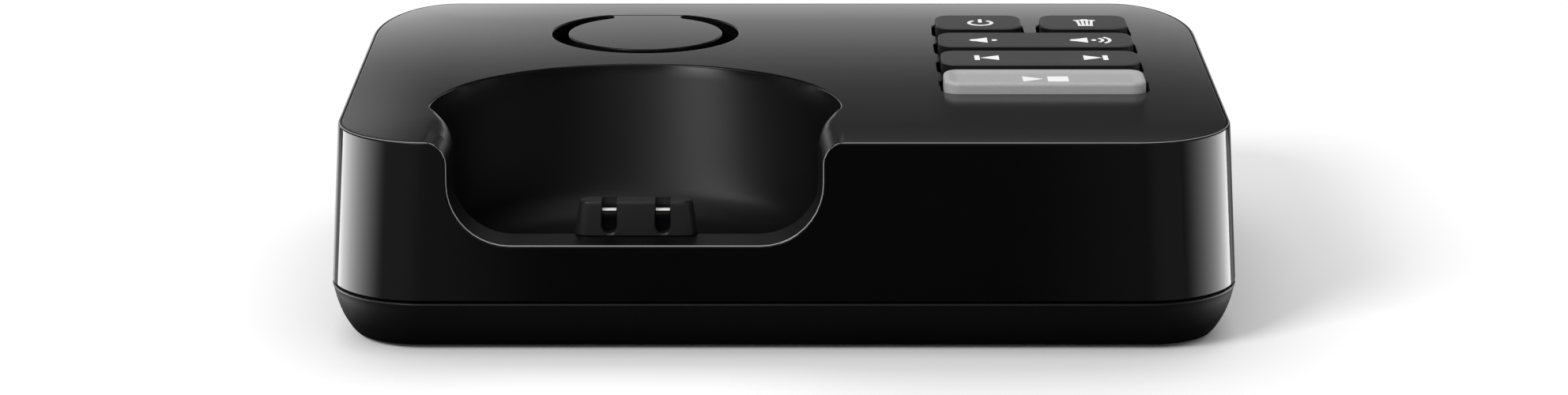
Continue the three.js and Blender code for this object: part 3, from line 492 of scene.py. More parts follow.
# Half widths of the rim with the distance behind the front edge, and the roll's radius there. The back is
# half an ellipse, with one point past its middle that only gives the line its direction.
OVAL = [(BOWL_HALF * math.cos(t), BOWL_WIDEST + (REACH - BOWL_WIDEST) * math.sin(t), LEAST_ROLL)
        for t in (math.radians(d) for d in range(15, 106, 15))]
RIM = smooth_line([(28.95, LEDGE, ROLL), (28.9, 9.5, ROLL), (28.95, 12.5, 3.3), (29.7, 16, 2.35),
                   (31.3, 19.8, 1.15), (BOWL_HALF, BOWL_WIDEST, THIN_ROLL)] + OVAL, 5)[:-5]
# Down the wall: shares of the depth, of the reach behind the ledge and of the width, and the
# share of the ledge by which the front wall has come in.
WALL = smooth_line([(0.13, 0.961, 0.997, 0), (0.4, 0.88, 0.99, 0), (0.72, 0.785, 0.965, 0),
                    (0.84, 0.735, 0.935, 0.03), (0.93, 0.665, 0.875, 0.12), (0.98, 0.57, 0.79, 0.3),
                    (1, 0.46, 0.68, 0.6)], 4)
TURNS = [math.radians(d) for d in range(0, 91, 15)]
# The deck rises by CROWN over a run that starts near its edge. The roll starts a hair above it.
CROWN, CROWN_FROM, CROWN_RUN, ROLL_LIFT = 0.25, 0.9, 14.1, 0.015
# How far a cutter stands out of its piece, and the hair by which it misses a face that it would meet.
ABOVE, HAIR = 6, 0.01
print("points round the rim:", 2 * len(RIM) - 1, "and down the wall:", len(WALL))


# %% The deck's height and the cradle's middle
def within(share):
    return min(max(share, 0), 1)


def crown(share):
    """The deck's height at a share of its rise from the edge."""
    return EDGE + CROWN * (1 - (1 - share) ** 2)


def roll_top(behind):
    return crown(within((behind - CROWN_FROM) / CROWN_RUN)) + ROLL_LIFT


def bowl_middle(behind):
    """The bowl's middle, which moves over to the channel's towards the front."""
    return BOWL_X + (CHANNEL_X - BOWL_X) * within((SHIFT_END - behind) / (SHIFT_END - LEDGE))


def mirrored(half):
    """A half outline and its mirror image, about the cradle's middle."""
    both = half + [(-x, y, z) for x, y, z in reversed(half[:-1])]
    return [(x + bowl_middle(y), FRONT + y, z) for x, y, z in both]


print("the deck's middle is", crown(1), "mm high, and the cradle's is at", bowl_middle(REACH), "mm")


# %% The oval pit
def pit(grow=0.0):
    """The space behind the ledge, as level slices from above the deck to the pit's floor."""
    slices, front = [], LEDGE - grow
    for turn in (None, *TURNS):
        half = []
        for x, y, roll in RIM:
            out = roll * (1 - math.sin(turn or 0)) + grow
            back = front + (y - LEDGE) * (REACH + out - front) / (REACH - LEDGE)
            height = EDGE + ABOVE if turn is None else roll_top(y) - roll * (1 - math.cos(turn))
            # The rearmost point stays in the middle, so that the two halves meet there.
            half.append((x + out if x > HAIR else 0.0, back, height))
        slices.append(mirrored(half))
    for depth, back, wide, come_in in WALL:
        front = LEDGE * (1 + come_in) - grow
        rear = LEDGE + (REACH - LEDGE) * back + grow
        half = [(x * wide * (1 + grow / SPREAD), front + (y - LEDGE) * (rear - front) / (REACH - LEDGE),
                 EDGE - (BOWL_DEPTH + grow) * depth) for x, y, roll in RIM]
        slices.append(mirrored(half))
    return skin(slices)


print("the pit's space holds", volume(pit()), "cm3 with what is above the deck")


# %% The channel through the front wall
# Half width and lower corners, how far the cutter starts in front of the case and passes the roll's side.
CHANNEL_HALF, CHANNEL_CORNER, CHANNEL_OVERRUN, ROLL_MARGIN = 29.25, 9.75, 6.0, 0.3
# Behind the ledge the channel narrows into the pit: distances behind the front, and half widths.
CHANNEL_END = ((LEDGE, 28.95), (LEDGE + 3, 27.9))


def channel_outline(half, grow, behind):
    """A U with round lower corners, whose upper ends roll outwards, at one distance behind the front."""
    half, corner, roll = half + grow, CHANNEL_CORNER + grow, max(ROLL - grow, LEAST_ROLL)
    right = [(half + roll + ROLL_MARGIN, EDGE + ABOVE)]
    right += [(half + roll * (1 - math.sin(t)), roll_top(behind) - roll * (1 - math.cos(t))) for t in TURNS]
    right += arc(half - corner, LEDGE_TOP - grow + corner, corner, corner, 0, -QUARTER, 10)
    return right + [(-x, z) for x, z in reversed(right)]


def channel(grow=0.0, edge=0.0):
    """The U from in front of the case to behind the ledge. An edge's radius widens it at the front."""
    steps = [(-CHANNEL_OVERRUN, edge), (0.0, edge)]
    if edge:
        steps += [(edge * (1 - math.cos(t)), edge * (1 - math.sin(t)))
                  for t in (math.radians(d) for d in (20, 40, 60, 75, 90))]
    slices = []
    for behind, wider in steps:
        outline = channel_outline(CHANNEL_HALF, grow + wider, behind)
        slices.append([(x + CHANNEL_X, FRONT - END_FLARE * (EDGE - min(z, EDGE)) / SEAM_DROP + behind, z)
                       for x, z in outline])
    for behind, half in CHANNEL_END:
        outline = channel_outline(half, grow, behind)
        slices.append([(x + CHANNEL_X, FRONT + behind + (grow if behind > LEDGE else 0), z)
                       for x, z in outline])
    return skin(slices)


print("the channel's space holds", volume(channel()), "cm3")

# %% [markdown]
# ## The deck with its cradle
# On the real base the deck, the cradle and the posts under it are one moulding. The plate is a skin whose
# rings draw in and rise a quarter of a millimetre, which gives the deck its faint crown. It ends half a
# millimetre inside the case, where the band's lip frames it. The cradle's grown shapes are joined below
# it, and then its space, the key wells, the round hole for the paging disc and the screw holes are
# carved away. Each opening flares by a quarter of a millimetre at the top, since moulded edges are never
# sharp and catch the light.

# %% The plate and the cradle's wall
# The band's lip and the plate end this far inside the case, with a hairline between them.
LIP, SEAM = 0.42, 0.55
# The rounding of the plate's edge, and how far inside it the deck is level.
DECK_ROUND, CROWN_WIDTH = 0.15, 14.4
# The thickness of the cradle's wall, and the heights that it stays between.
CRADLE_WALL, WALL_LOW, WALL_TOP = 1.8, 0.5, 33.4
FILLET = [math.radians(t) for t in (0, 22, 45, 68, 90)]


def fillet(radius):
    """Steps round a quarter circle: how far each is drawn in, and how far it is below the top."""
    return [(radius * (1 - math.cos(t)), radius * (1 - math.sin(t))) for t in FILLET]


def envelope(inset, low, high):
    """The space inside the case between two heights, drawn in by an inset."""
    return skin([at_height(case_plan(z, inset), z) for z in (low, high)])


def deck_plate():
    """Rings for the underside, the rounded edge and the crown."""
    rings = [at_height(case_plan(EDGE, SEAM), PLATE_LOW)]
    for drawn_in, drop in fillet(DECK_ROUND):
        rings.append(at_height(case_plan(EDGE, SEAM + drawn_in), EDGE - drop))
    for share in (0.1, 0.25, 0.45, 0.7, 1):
        rings.append(at_height(case_plan(EDGE, SEAM + CROWN_WIDTH * share), crown(share)))
    return skin(rings)


def grown_cradle(growth, inset, high):
    """The cradle's space grown by a wall, kept inside the case and below a height."""
    both = carve(pit(growth), "UNION", channel(growth))
    return carve(both, "INTERSECT", envelope(inset, WALL_LOW, high))


plate = carve(deck_plate(), "UNION", grown_cradle(CRADLE_WALL, SEAM, WALL_TOP))
print("plate and cradle wall before the openings:", volume(plate), "cm3")

# %% Where the keys, the paging disc and the posts are
# Each key's middle and width, and then what all of them share.
KEYS = {"play_key": (42.45, -13.95, 32.8), "skip_key": (42.45, 0.0, 32.8),
        "volume_key": (42.45, 13.95, 32.8), "power_key": (33.35, 27.9, 14.6),
        "delete_key": (51.45, 27.9, 14.8)}
KEY_DEPTH, KEY_TOP = 10.5, 36.3
# How much larger a well is than its key, the radius of its corners, and its lower end.
WELL_PLAY, WELL_CORNER, WELL_LOW = 1.2, 3.1, 28
# By how much an opening's edge flares at the deck.
FLARE = 0.25
# The paging hole's middle and radius, and the part of its edge that the groove's rounding runs along.
PAGING, PAGING_HOLE, HOLE_STEPS = (-23.8, 26.4), 16, 128
GROOVE_START, GROOVE_SWEEP, GROOVE_STEPS, GROOVE_BACK = 30, 300, 96, 0.4
CASE_POSTS = [(-60.5, -42.0), (60.5, -42.0), (-59.0, 43.0), (59.0, 43.0)]
KEY_POSTS = [(22.35, -20.03), (62.55, -20.03), (22.35, 33.98), (62.55, 33.98)]
# Radius, lowest and highest point, and with the holes also the number of sides.
CASE_POST, KEY_POST, POST_HOLE = (3, 7.5, 33), (2.2, 27.7, 33), (1.55, 7, 18.5, 16)
print("wells for:", *KEYS)


# %% Posts and openings
def well(x, y, width):
    """A cutter for a key's well, which widens at the deck."""
    wide, deep = width + WELL_PLAY, KEY_DEPTH + WELL_PLAY
    steps = [(0, WELL_LOW), *((wider, DECK - drop + HAIR) for wider, drop in fillet(FLARE)),
             (FLARE, DECK + ABOVE / 2)]
    return skin([at_height(rounded(wide + 2 * g, deep + 2 * g, WELL_CORNER + g, x, y), z)
                 for g, z in steps])


def groove_flare():
    """The rounding of the paging hole's edge, swept only where the groove runs."""
    bm = bmesh.new()
    low, high = DECK - FLARE + HAIR, DECK + 1
    inner, outer = PAGING_HOLE - GROOVE_BACK, PAGING_HOLE + FLARE
    profile = [(inner, low)] + [(outer - FLARE * math.cos(t), low + FLARE * math.sin(t)) for t in FILLET]
    start = Matrix.Rotation(math.radians(GROOVE_START), 3, "Z")
    ring = [bm.verts.new(start @ Vector((0, r, z))) for r, z in profile + [(outer, high), (inner, high)]]
    face = bm.faces.new(ring)
    bmesh.ops.spin(bm, geom=[face, *face.edges, *face.verts], cent=(0, 0, 0), axis=(0, 0, 1),
                   angle=math.radians(GROOVE_SWEEP), steps=GROOVE_STEPS)
    bmesh.ops.translate(bm, vec=(*PAGING, 0), verts=bm.verts)
    bmesh.ops.recalc_face_normals(bm, faces=bm.faces)
    return bm


plate = carve(plate, "UNION", *[peg(*spot, *CASE_POST) for spot in CASE_POSTS],
              *[peg(*spot, *KEY_POST) for spot in KEY_POSTS])
plate = carve(plate, "DIFFERENCE", pit(), channel(), *[well(*k) for k in KEYS.values()],
              peg(*PAGING, PAGING_HOLE, WELL_LOW, KEY_TOP + 1, HOLE_STEPS), groove_flare(),
              *[peg(*spot, *POST_HOLE) for spot in CASE_POSTS])
print("plate after the openings:", volume(plate), "cm3")

# %% Place the top cover
piece("top_cover_moulding", plate, deck_satin, "housing", ["top_cover"])

# %% [markdown]
# ## The gloss band
# A polished wall runs round the case between the deck and the tray, with a narrow lip that frames the
# deck. The thin bright line along the front and round the cradle's channel is a painted highlight, a
# pale colour on the lip's rounding. The wall is a skin with a rounded top and bottom edge, hollowed by
# drawn-in copies of the case.

# %% The band
# The band's lower end, its roundings, its wall, and how far down the lip reaches.
BAND_LOW, LOW_ROUND, TOP_ROUND, BAND_WALL, LIP_LOW = 9.15, 0.25, 0.35, 2, 32.4
# The room for the cradle's wall, and a height well above the case.
BEHIND_LIP, CLEAR = 2.1, 60
# Each socket's middle, width and height, and then what both share.
JACKS = {"line_jack": (26.0, 13.2, 12.2), "power_jack": (6.0, 11.2, 11.0)}
JACK_LOW, JACK_PLAY, JACK_CORNER = 6.1, 0.6, 0.4


def band_rings():
    """Level rings with a rounded edge below and above."""
    rings = [(BAND_LOW + rise, inset) for inset, rise in reversed(fillet(LOW_ROUND))]
    rings += [(EDGE - drop, inset) for inset, drop in fillet(TOP_ROUND)]
    return [at_height(case_plan(z, inset), z) for z, inset in rings]


def jack_window(x, width, height):
    """A cutter through the back wall, for a socket."""
    outline = rounded(width + JACK_PLAY, height + JACK_PLAY, JACK_CORNER, x, JACK_LOW + height / 2)
    return skin([[(px, y, z) for px, z in outline] for y in (HALF_DEPTH - 1, HALF_DEPTH + ABOVE)])


band = carve(skin(band_rings()), "DIFFERENCE",
             envelope(BAND_WALL, 0, CLEAR), envelope(LIP, LIP_LOW, CLEAR),
             grown_cradle(BEHIND_LIP, LIP, CLEAR), pit(), channel(edge=TOP_ROUND),
             *[jack_window(*j) for j in JACKS.values()])
wall = piece("gloss_band_wall", band, band_gloss, "housing", ["gloss_band"]).data

# %% Mark the band's rounded rim for its painted highlight
# A face gets the rim's painted highlight if it lies near the upper edge or round the channel's mouth,
# and if it faces up or to the front by a share between these.
UPPER_FROM, UPPER_TILT = 33.9, (0.7, 0.95)
MOUTH_FROM, MOUTH_DEPTH, MOUTH_HALF, MOUTH_TILT = 17, 0.5, 34, (0.25, 0.8)
rim_highlight_marks = wall.attributes.new("rim_highlight", "FLOAT", "CORNER").data
for face in wall.polygons:
    x, y, z = face.center * 1000
    upper = z > UPPER_FROM and UPPER_TILT[0] < face.normal.z < UPPER_TILT[1]
    near = z > MOUTH_FROM and y < FRONT + MOUTH_DEPTH and abs(x - CHANNEL_X) < MOUTH_HALF
    mouth = near and MOUTH_TILT[0] < -face.normal.y < MOUTH_TILT[1]
    for corner in face.loop_indices:
        rim_highlight_marks[corner].value = float(upper or mouth)
print("faces on the rim:", sum(rim_highlight_marks[f.loop_start].value for f in wall.polygons))

# %% [markdown]
# ## The tray
# The matt tray tapers to a smaller foot, and its flank bulges a little on the way. It holds the
# boards, and its floor has the slots over the loudspeaker, two keyholes for hanging the base on a
# wall, pockets for the feet and deep seats for the four screws. The flank is a smooth line of height
# and inset, and every ring of the skin follows one point of that line.

# %% The tray's outer and inner skin
# Shares of the tray's height with shares of its taper.
FLANK = smooth_line([(0, 0), (0.28, 0.15), (0.59, 0.41), (0.82, 0.7), (0.94, 0.9), (1, 1.03)], 3)
TRAY_TOP, TRAY_HEIGHT, TRAY_WALL, TRAY_ROUND = 8.85, 8.15, 2, 0.3
# By the foot the sides and the ends have come in by these, and the corners' radii shrunk by the last.
SIDE_TAPER, END_TAPER, CORNER_TAPER = 3.4, 5.2, 4.9
# The floor's upper face, how far down the hollow follows the flank, and where its cutter starts.
FLOOR_TOP, HOLLOW_SHARE, HOLLOW_TOP = 2.7, 0.8, 12


def tray_ring(down, inward, inset):
    """The tray's outline at shares of its height and of its taper, drawn in by an inset."""
    x, y = HALF_WIDTH + SIDE_FLARE - SIDE_TAPER * inward, HALF_DEPTH + END_FLARE - END_TAPER * inward
    height = TRAY_TOP - TRAY_HEIGHT * down
    return at_height(plan(x - inset, y - inset, inset + CORNER_TAPER * inward), height)


outside = [tray_ring(drop / TRAY_HEIGHT, 0, inset) for inset, drop in reversed(fillet(TRAY_ROUND))]
outside += [tray_ring(down, inward, 0) for down, inward in FLANK if down > TRAY_ROUND / TRAY_HEIGHT]
outside += [tray_ring(1, FLANK[-1][1], LOW_ROUND)]
inside = [tray_ring(down, inward, TRAY_WALL) for down, inward in FLANK if down <= HOLLOW_SHARE]
hollow = skin([at_height([p[:2] for p in inside[0]], HOLLOW_TOP), *inside,
               at_height([p[:2] for p in inside[-1]], FLOOR_TOP)])
tray = carve(skin(outside), "DIFFERENCE", hollow)
print("the tray's shell holds", volume(tray), "cm3")

# %% Tongue, bosses and collar
SPEAKER = (40.0, -22.0)
STANDOFFS = [(-60.0, 6.0), (-30.0, -33.5), (30.0, 34.5), (0.0, 6.0)]
# Radius, lowest and highest point, and the number of sides where it isn't the usual one.
CASE_BOSS, STANDOFF = (3.4, 1, 7.2), (2.2, 2.4, 4.2, 20)
COLLAR, COLLAR_HOLE = (20.7, 2.4, 5.7, 64), (19.3, 2, 6, 64)
# The tongue that the band sits on: outer and inner inset, lowest and highest point, above a wider step.
TONGUE, TONGUE_STEP = (2.3, 3.5, 6.8, 10.8), (1.7, 3.5, 6.8, 8.7)


def frame_ring(outer, inner, low, high):
    return carve(envelope(outer, low, high), "DIFFERENCE", envelope(inner, low - 1, high + 1))


collar = carve(peg(*SPEAKER, *COLLAR), "DIFFERENCE", peg(*SPEAKER, *COLLAR_HOLE))
tray = carve(tray, "UNION", frame_ring(*TONGUE), frame_ring(*TONGUE_STEP), collar,
             *[peg(*spot, *CASE_BOSS) for spot in CASE_POSTS],
             *[peg(*spot, *STANDOFF) for spot in STANDOFFS])
print("the tray with its tongue and bosses:", volume(tray), "cm3")

# %% The tray's openings
FEET = {"foot_front_left": (-45.0, -40.5), "foot_front_right": (45.0, -40.5),
        "foot_rear_left": (-45.0, 41.5), "foot_rear_right": (45.0, 41.5)}
FOOT_WIDTH, FOOT_DEPTH, FOOT_CORNER, FOOT_PLAY, POCKET = 14, 7, 3, 0.3, 1.45
SHANK_HOLE, HEAD_SEAT = (1.7, 0, 12), (3, 0, 3.3)
THROUGH = 3.2  # a height just above the floor
# The slots over the loudspeaker fill a circle, and a keyhole is a round hole with a slot behind it.
SOUND_PITCH, SOUND_WIDE, SOUND_REACH, SOUND_ROWS = 4.2, 1.7, 14.5, 3
KEYHOLE_X, KEYHOLE_Y, KEYHOLE_RADIUS = 30, -1.0, 4
KEYHOLE_WIDTH, KEYHOLE_LENGTH, KEYHOLE_MIDDLE = 4, 9, 2.5


def floor_slot(width, depth, x, y):
    return prism(rounded(width, depth, min(width, depth) / 2 - HAIR, x, y), 0, THROUGH)


openings = []
for row in range(-SOUND_ROWS, SOUND_ROWS + 1):
    off = SOUND_PITCH * row
    length = 2 * math.sqrt(SOUND_REACH ** 2 - off ** 2)
    openings.append(floor_slot(length, SOUND_WIDE, SPEAKER[0], SPEAKER[1] + off))
for x in (-KEYHOLE_X, KEYHOLE_X):
    openings += [peg(x, KEYHOLE_Y, KEYHOLE_RADIUS, 0, THROUGH),
                 floor_slot(KEYHOLE_WIDTH, KEYHOLE_LENGTH, x, KEYHOLE_MIDDLE)]
openings += [prism(rounded(FOOT_WIDTH + FOOT_PLAY, FOOT_DEPTH + FOOT_PLAY, FOOT_CORNER, *spot), 0, POCKET)
             for spot in FEET.values()]
openings += [peg(*spot, *hole) for hole in (SHANK_HOLE, HEAD_SEAT) for spot in CASE_POSTS]
openings += [jack_window(*j) for j in JACKS.values()]
tray = carve(tray, "DIFFERENCE", *openings)
piece("bottom_tray_moulding", tray, tray_matte, "housing", ["bottom_tray"])

# %% [markdown]
# ## The keys
# Four keys are soft grey with a small rounded edge. The play and stop key is silver and dished, so that a
# finger finds it, and its rim shines. Two of the bars rock about their middle and have a tab
# under the deck only there. A key is a skin of rounded rectangles: the wall, the rounding and, on the
# silver key, the dish. The tab is a prism that is joined to its lower end.

# %% Key caps
# A cap's lower end and corners, and its tab's upper end, corners and how much larger it is.
CAP_LOW, CAP_CORNER, TAB_TOP, TAB_CORNER, TAB_REACH = 31.3, 2.6, 32.4, 3.7, 2.4
# The rounding of a grey key's edge and of the silver one's, and the width of a rocker's tab.
SOFT_EDGE, SILVER_EDGE, ROCKER_TAB = 0.35, 0.6, 10
# The silver key's dish: distances in from the rim, with depths.
DISH = [(0.95, 0.02), (1.25, 0.12), (1.6, 0.26), (2.0, 0.36), (2.3, 0.4)]


def key_cap(x, y, width, tab_width, edge, dish=()):
    """A cap with a rounded edge, a dish if there is one, and a tab that stays under the deck."""
    steps = [(0, CAP_LOW), (0, KEY_TOP - edge)]
    steps += [(-inward, KEY_TOP - drop) for inward, drop in fillet(edge)[1:]]
    steps += [(-inward, KEY_TOP - down) for inward, down in dish]
    cap = skin([at_height(rounded(width + 2 * g, KEY_DEPTH + 2 * g, CAP_CORNER + g, x, y, 8), z)
                for g, z in steps])
    tab = rounded(tab_width + TAB_REACH, KEY_DEPTH + TAB_REACH, TAB_CORNER, x, y, 8)
    return carve(cap, "UNION", prism(tab, CAP_LOW, TAB_TOP))


for name, (x, y, width) in KEYS.items():
    tab_width = ROCKER_TAB if name in ("skip_key", "volume_key") else width
    if name == "play_key":
        cap = key_cap(x, y, width, tab_width, SILVER_EDGE, DISH)
        piece(name + "_cap", cap, silver_paint, name, [name])
    else:
        cap = key_cap(x, y, width, tab_width, SOFT_EDGE)
        piece(name + "_cap", cap, key_grey, name, [name])

# %% [markdown]
# ## The signs on the keys
# The signs are generic pictograms in pale ink: a power ring, a bin, a quiet and a loud horn, skip back
# and forward, play and stop. Each is a flat outline pushed up by a few hundredths of a millimetre,
# which is about how thick pad printing lies. A texture would blur when someone comes close.

# %% Flat outlines, and how they are made to stand up
# How far the ink stands above a key's top and reaches below it.
INK_RISE, INK_ROOT = 0.035, 0.05


def print_layer(outlines, base):
    """One mesh of low prisms, one for each outline, which sits on a key's top."""
    bm = bmesh.new()
    for outline in outlines:
        face = bm.faces.new([bm.verts.new((x, y, base - INK_ROOT)) for x, y in outline])
        risen = bmesh.ops.extrude_face_region(bm, geom=[face])["geom"]
        bmesh.ops.translate(bm, vec=(0, 0, INK_ROOT + INK_RISE), verts=points_of(risen))
    bmesh.ops.recalc_face_normals(bm, faces=bm.faces)
    return bm


def box(x0, x1, y0, y1):
    return [(x0, y0), (x1, y0), (x1, y1), (x0, y1)]


def curved_bar(x, y, radius, wide, start, end, steps=20):
    """A stroke along a circle, from one angle in degrees to another."""
    a, b, half = math.radians(start), math.radians(end), wide / 2
    return (arc(x, y, radius + half, radius + half, a, b, steps)
            + arc(x, y, radius - half, radius - half, b, a, steps))


def dot(x, y, half):
    return arc(x, y, half, 0.6, 0, 6.0, 14)


def horn(x0, x1, y):
    """A loudspeaker sign: a blunt round end at the left that widens to the right."""
    low, high, throat = 0.7, 1.9, x0 + 0.9
    return arc(x0 + low, y, low, low, QUARTER, 3 * QUARTER, 8) + [
        (throat, y - low), (x1, y - high), (x1, y + high), (throat, y + low)]


print("a horn's outline has", len(horn(0, 3, 0)), "points")


# %% The eight signs
def bin_sign(x, y):
    """A lid with its handle above a bucket of upright slats."""
    slats = [[(x + s - 0.23, y - 2.0), (x + s + 0.23, y - 2.0),
              (x + s * 1.22 + 0.25, y + 1.35), (x + s * 1.22 - 0.25, y + 1.35)]
             for s in (-1, -0.33, 0.33, 1)]
    return slats + [box(x - 1.3, x + 1.3, y - 2.7, y - 2.05), box(x - 1.85, x + 1.85, y + 1.4, y + 2.0),
                    box(x - 0.6, x + 0.6, y + 2.05, y + 2.5)]


SIGNS = {
    "power_key": [curved_bar(33.7, 26.7, 1.95, 0.62, -235, 55), box(33.38, 34.02, 27.0, 29.5)],
    "delete_key": bin_sign(51.65, 27.0),
    "volume_key": [horn(31.3, 34.3, 13.0), dot(35.5, 13.0, 0.48),
                   horn(48.25, 51.25, 13.0), dot(52.3, 13.0, 0.45),
                   curved_bar(51.9, 13.0, 1.9, 0.55, -48, 48), curved_bar(51.9, 13.0, 3.1, 0.55, -46, 46)],
    "skip_key": [box(31.6, 32.45, -2.2, 1.2), [(35.65, -2.2), (35.65, 1.2), (32.6, -0.5)],
                 [(49.7, -2.2), (52.75, -0.5), (49.7, 1.2)], box(52.9, 53.75, -2.2, 1.2)],
    "play_key": [[(38.9, -16.4), (42.2, -14.5), (38.9, -12.6)], box(42.95, 46.35, -16.3, -12.7)],
}
for name, outlines in SIGNS.items():
    sunk = DISH[-1][1] if name == "play_key" else 0
    piece(name + "_signs", print_layer(outlines, KEY_TOP - sunk), ink, name, crease=20)

# %% [markdown]
# ## The paging disc
# The disc is cut out of the deck by a C-shaped groove and bends on the neck that is left at the back,
# a living hinge. The neck runs into the deck without a seam, so this piece fills the round hole there
# exactly and shares the deck's finish. Underneath the neck is a tenth of a millimetre smaller, which is
# room for its lower edge to swing back when the disc is pressed. The groove ends in half circles, as a
# milled groove does.

# %% Disc, neck and plunger
# The disc's radius, half the groove's width, and the angle from the back at which the groove ends.
DISC, GROOVE, NECK_ANGLE = 13.2, 1.4, math.radians(29.5)
# The neck's outer radius at the deck and underneath.
NECK, NECK_LOW = 15.98, 15.88
# Radius, lowest and highest point of the peg that works the switch, and of its wider root.
PLUNGER, PLUNGER_ROOT = (2, 17.6, 33), (3.2, 31.9, 33)


def paging_outline(grow, outer=NECK):
    """The disc with its neck. Growth draws the groove's side of the outline in and spares the neck."""
    line = arc(0, 0, DISC - grow, DISC - grow, QUARTER + NECK_ANGLE, 5 * QUARTER - NECK_ANGLE, 84)
    middle, sine, cosine = DISC + GROOVE, math.sin(NECK_ANGLE), math.cos(NECK_ANGLE)
    turns = (20, 45, 70, 90, 110, 135, 160, 178)
    for side in (1, -1):
        for t in (math.radians(d) for d in turns[::side]):
            # The half circle starts at the disc, bulges towards the neck and ends at the outer rim.
            out, along = -math.cos(t) * (GROOVE + grow), math.sin(t) * (GROOVE + grow)
            px = side * (middle * sine + out * sine - along * cosine)
            py = middle * cosine + out * cosine + along * sine
            reach = min(1, outer / math.hypot(px, py))
            line.append((px * reach, py * reach))
        if side > 0:
            line += arc(0, 0, outer, outer, QUARTER - NECK_ANGLE * 0.8, QUARTER + NECK_ANGLE * 0.8, 14)
    return [(PAGING[0] + x, PAGING[1] + y) for x, y in line]


disc = skin([at_height(paging_outline(0, NECK_LOW), PLATE_LOW)]
            + [at_height(paging_outline(inward), DECK - drop) for inward, drop in fillet(FLARE)])
disc = carve(disc, "UNION", peg(*PAGING, *PLUNGER), peg(*PAGING, *PLUNGER_ROOT))
piece("paging_disc", disc, deck_satin, "paging_key", ["paging_key"])

# %% [markdown]
# ## Contact block and spring contacts
# The handset charges through two leaf springs that stand in slots in a small block. The block tapers
# up to a rounded top, and its slots end in half circles. A leaf is a strip of nickel-plated bronze that
# comes up at the back, turns over in a bright crest and runs down again, so it is drawn as a line of
# points, given a width by an extrusion and a thickness by solidify.

# %% The sizes of the block and its slots
SLOTS = (CHANNEL_X - 4.2, CHANNEL_X + 4.2)
# A slot's half width, the height of its lowest point, and the bevel of its front edge.
SLOT_HALF, SLOT_LOW, SLOT_BEVEL = 1.2, 18.5, 0.3
BLOCK_FRONT, BLOCK_BACK, BLOCK_CORNER = -47.2, -43.5, 2.0
# Height, width, depth and set-back of the block's lower rings, and of the ring where its top rounds over.
BLOCK_BASE = [(18.25, 19.3, 4.4, 0.0), (19.5, 19.0, 4.2, 0.05)]
BLOCK_TOP, BLOCK_ROUND, BLOCK_DRAW = (23.1, 17.9, 3.6, 0.25), 0.6, 1.2
# The block's foot stands on the pit's floor. Its half width, its front and back, and its heights.
FOOT_HALF, FOOT_FRONT, FOOT_BACK, FOOT_LOW, FOOT_TOP = 8.4, -45.6, -42.95, 10.6, 18.4
# A leaf runs down in a shaft behind its slot, from the top to this height.
SHAFT_FRONT, SHAFT_LOW = -44.6, 9
BLOCK_PLAY = 0.3  # between the foot and the pit's wall
# Where a slot's cutter starts, how much wider it is there, and its upper end.
SLOT_MOUTH, SLOT_ABOVE = (-49.5, 0.35), 30
print("the slots are at", [round(x, 1) for x in SLOTS], "mm")


# %% The block
def block_slot(x):
    """A slot with a half round lower end, whose front edge is bevelled."""
    rings = []
    steps = [(BLOCK_FRONT + SLOT_BEVEL * math.sin(t), SLOT_BEVEL * (1 - math.sin(t))) for t in FILLET]
    for y, more in [SLOT_MOUTH] + steps + [(BLOCK_BACK, 0)]:
        half = SLOT_HALF + more
        outline = [(x + half, SLOT_ABOVE), (x - half, SLOT_ABOVE)]
        outline += arc(x, SLOT_LOW + SLOT_HALF, half, half, 2 * QUARTER, 4 * QUARTER, 14)
        rings.append([(px, y, z) for px, z in outline])
    return skin(rings)


def block_rings():
    """Level rings with a rounded top, drawn in to the front as much as the real block is."""
    z, w, d, back = BLOCK_TOP
    rows = list(BLOCK_BASE)
    for t in FILLET:
        drawn = 1 - math.cos(t)
        rows.append((z + BLOCK_ROUND * math.sin(t), w - BLOCK_DRAW * drawn, d - BLOCK_DRAW * drawn,
                     back + BLOCK_ROUND * drawn))
    return [at_height(rounded(w, d, min(BLOCK_CORNER, d / 2 - 2 * HAIR), CHANNEL_X,
                              BLOCK_FRONT + back + d / 2, 8), z) for z, w, d, back in rows]


def shaft(x):
    outline = box(x - SLOT_HALF, x + SLOT_HALF, SHAFT_FRONT, BLOCK_BACK)
    return prism(outline, SHAFT_LOW, BLOCK_TOP[0] + BLOCK_ROUND)


foot = prism(box(CHANNEL_X - FOOT_HALF, CHANNEL_X + FOOT_HALF, FOOT_FRONT, FOOT_BACK), FOOT_LOW, FOOT_TOP)
block = carve(skin(block_rings()), "UNION", carve(foot, "INTERSECT", pit(-BLOCK_PLAY)))
block = carve(block, "DIFFERENCE", *[block_slot(x) for x in SLOTS], *[shaft(x) for x in SLOTS])
piece("contact_block_body", block, block_matte, "housing", ["contact_block"])

# %% The leaves
LEAF_WIDTH, LEAF_THICK = 2.2, 0.3
LEAF_LINE = smooth_line([(-46.2, 20.6), (-46.5, 21.0), (-46.6, 21.6), (-46.3, 22.1), (-45.8, 22.3),
                         (-45.2, 22.2), (-44.6, 21.6), (-44.2, 20.6), (-44.1, 18), (-44.1, 7.3)], 4)


def leaf(x):
    """A strip along a rounded line, solidified."""
    bm = bmesh.new()
    spine = [bm.verts.new((x - LEAF_WIDTH / 2, y, z)) for y, z in LEAF_LINE]
    edges = [bm.edges.new(pair) for pair in zip(spine, spine[1:])]
    wide = bmesh.ops.extrude_edge_only(bm, edges=edges)["geom"]
    bmesh.ops.translate(bm, vec=(LEAF_WIDTH, 0, 0), verts=points_of(wide))
    bmesh.ops.recalc_face_normals(bm, faces=bm.faces)
    bmesh.ops.solidify(bm, geom=bm.faces, thickness=LEAF_THICK)
    bmesh.ops.recalc_face_normals(bm, faces=bm.faces)
    return bm


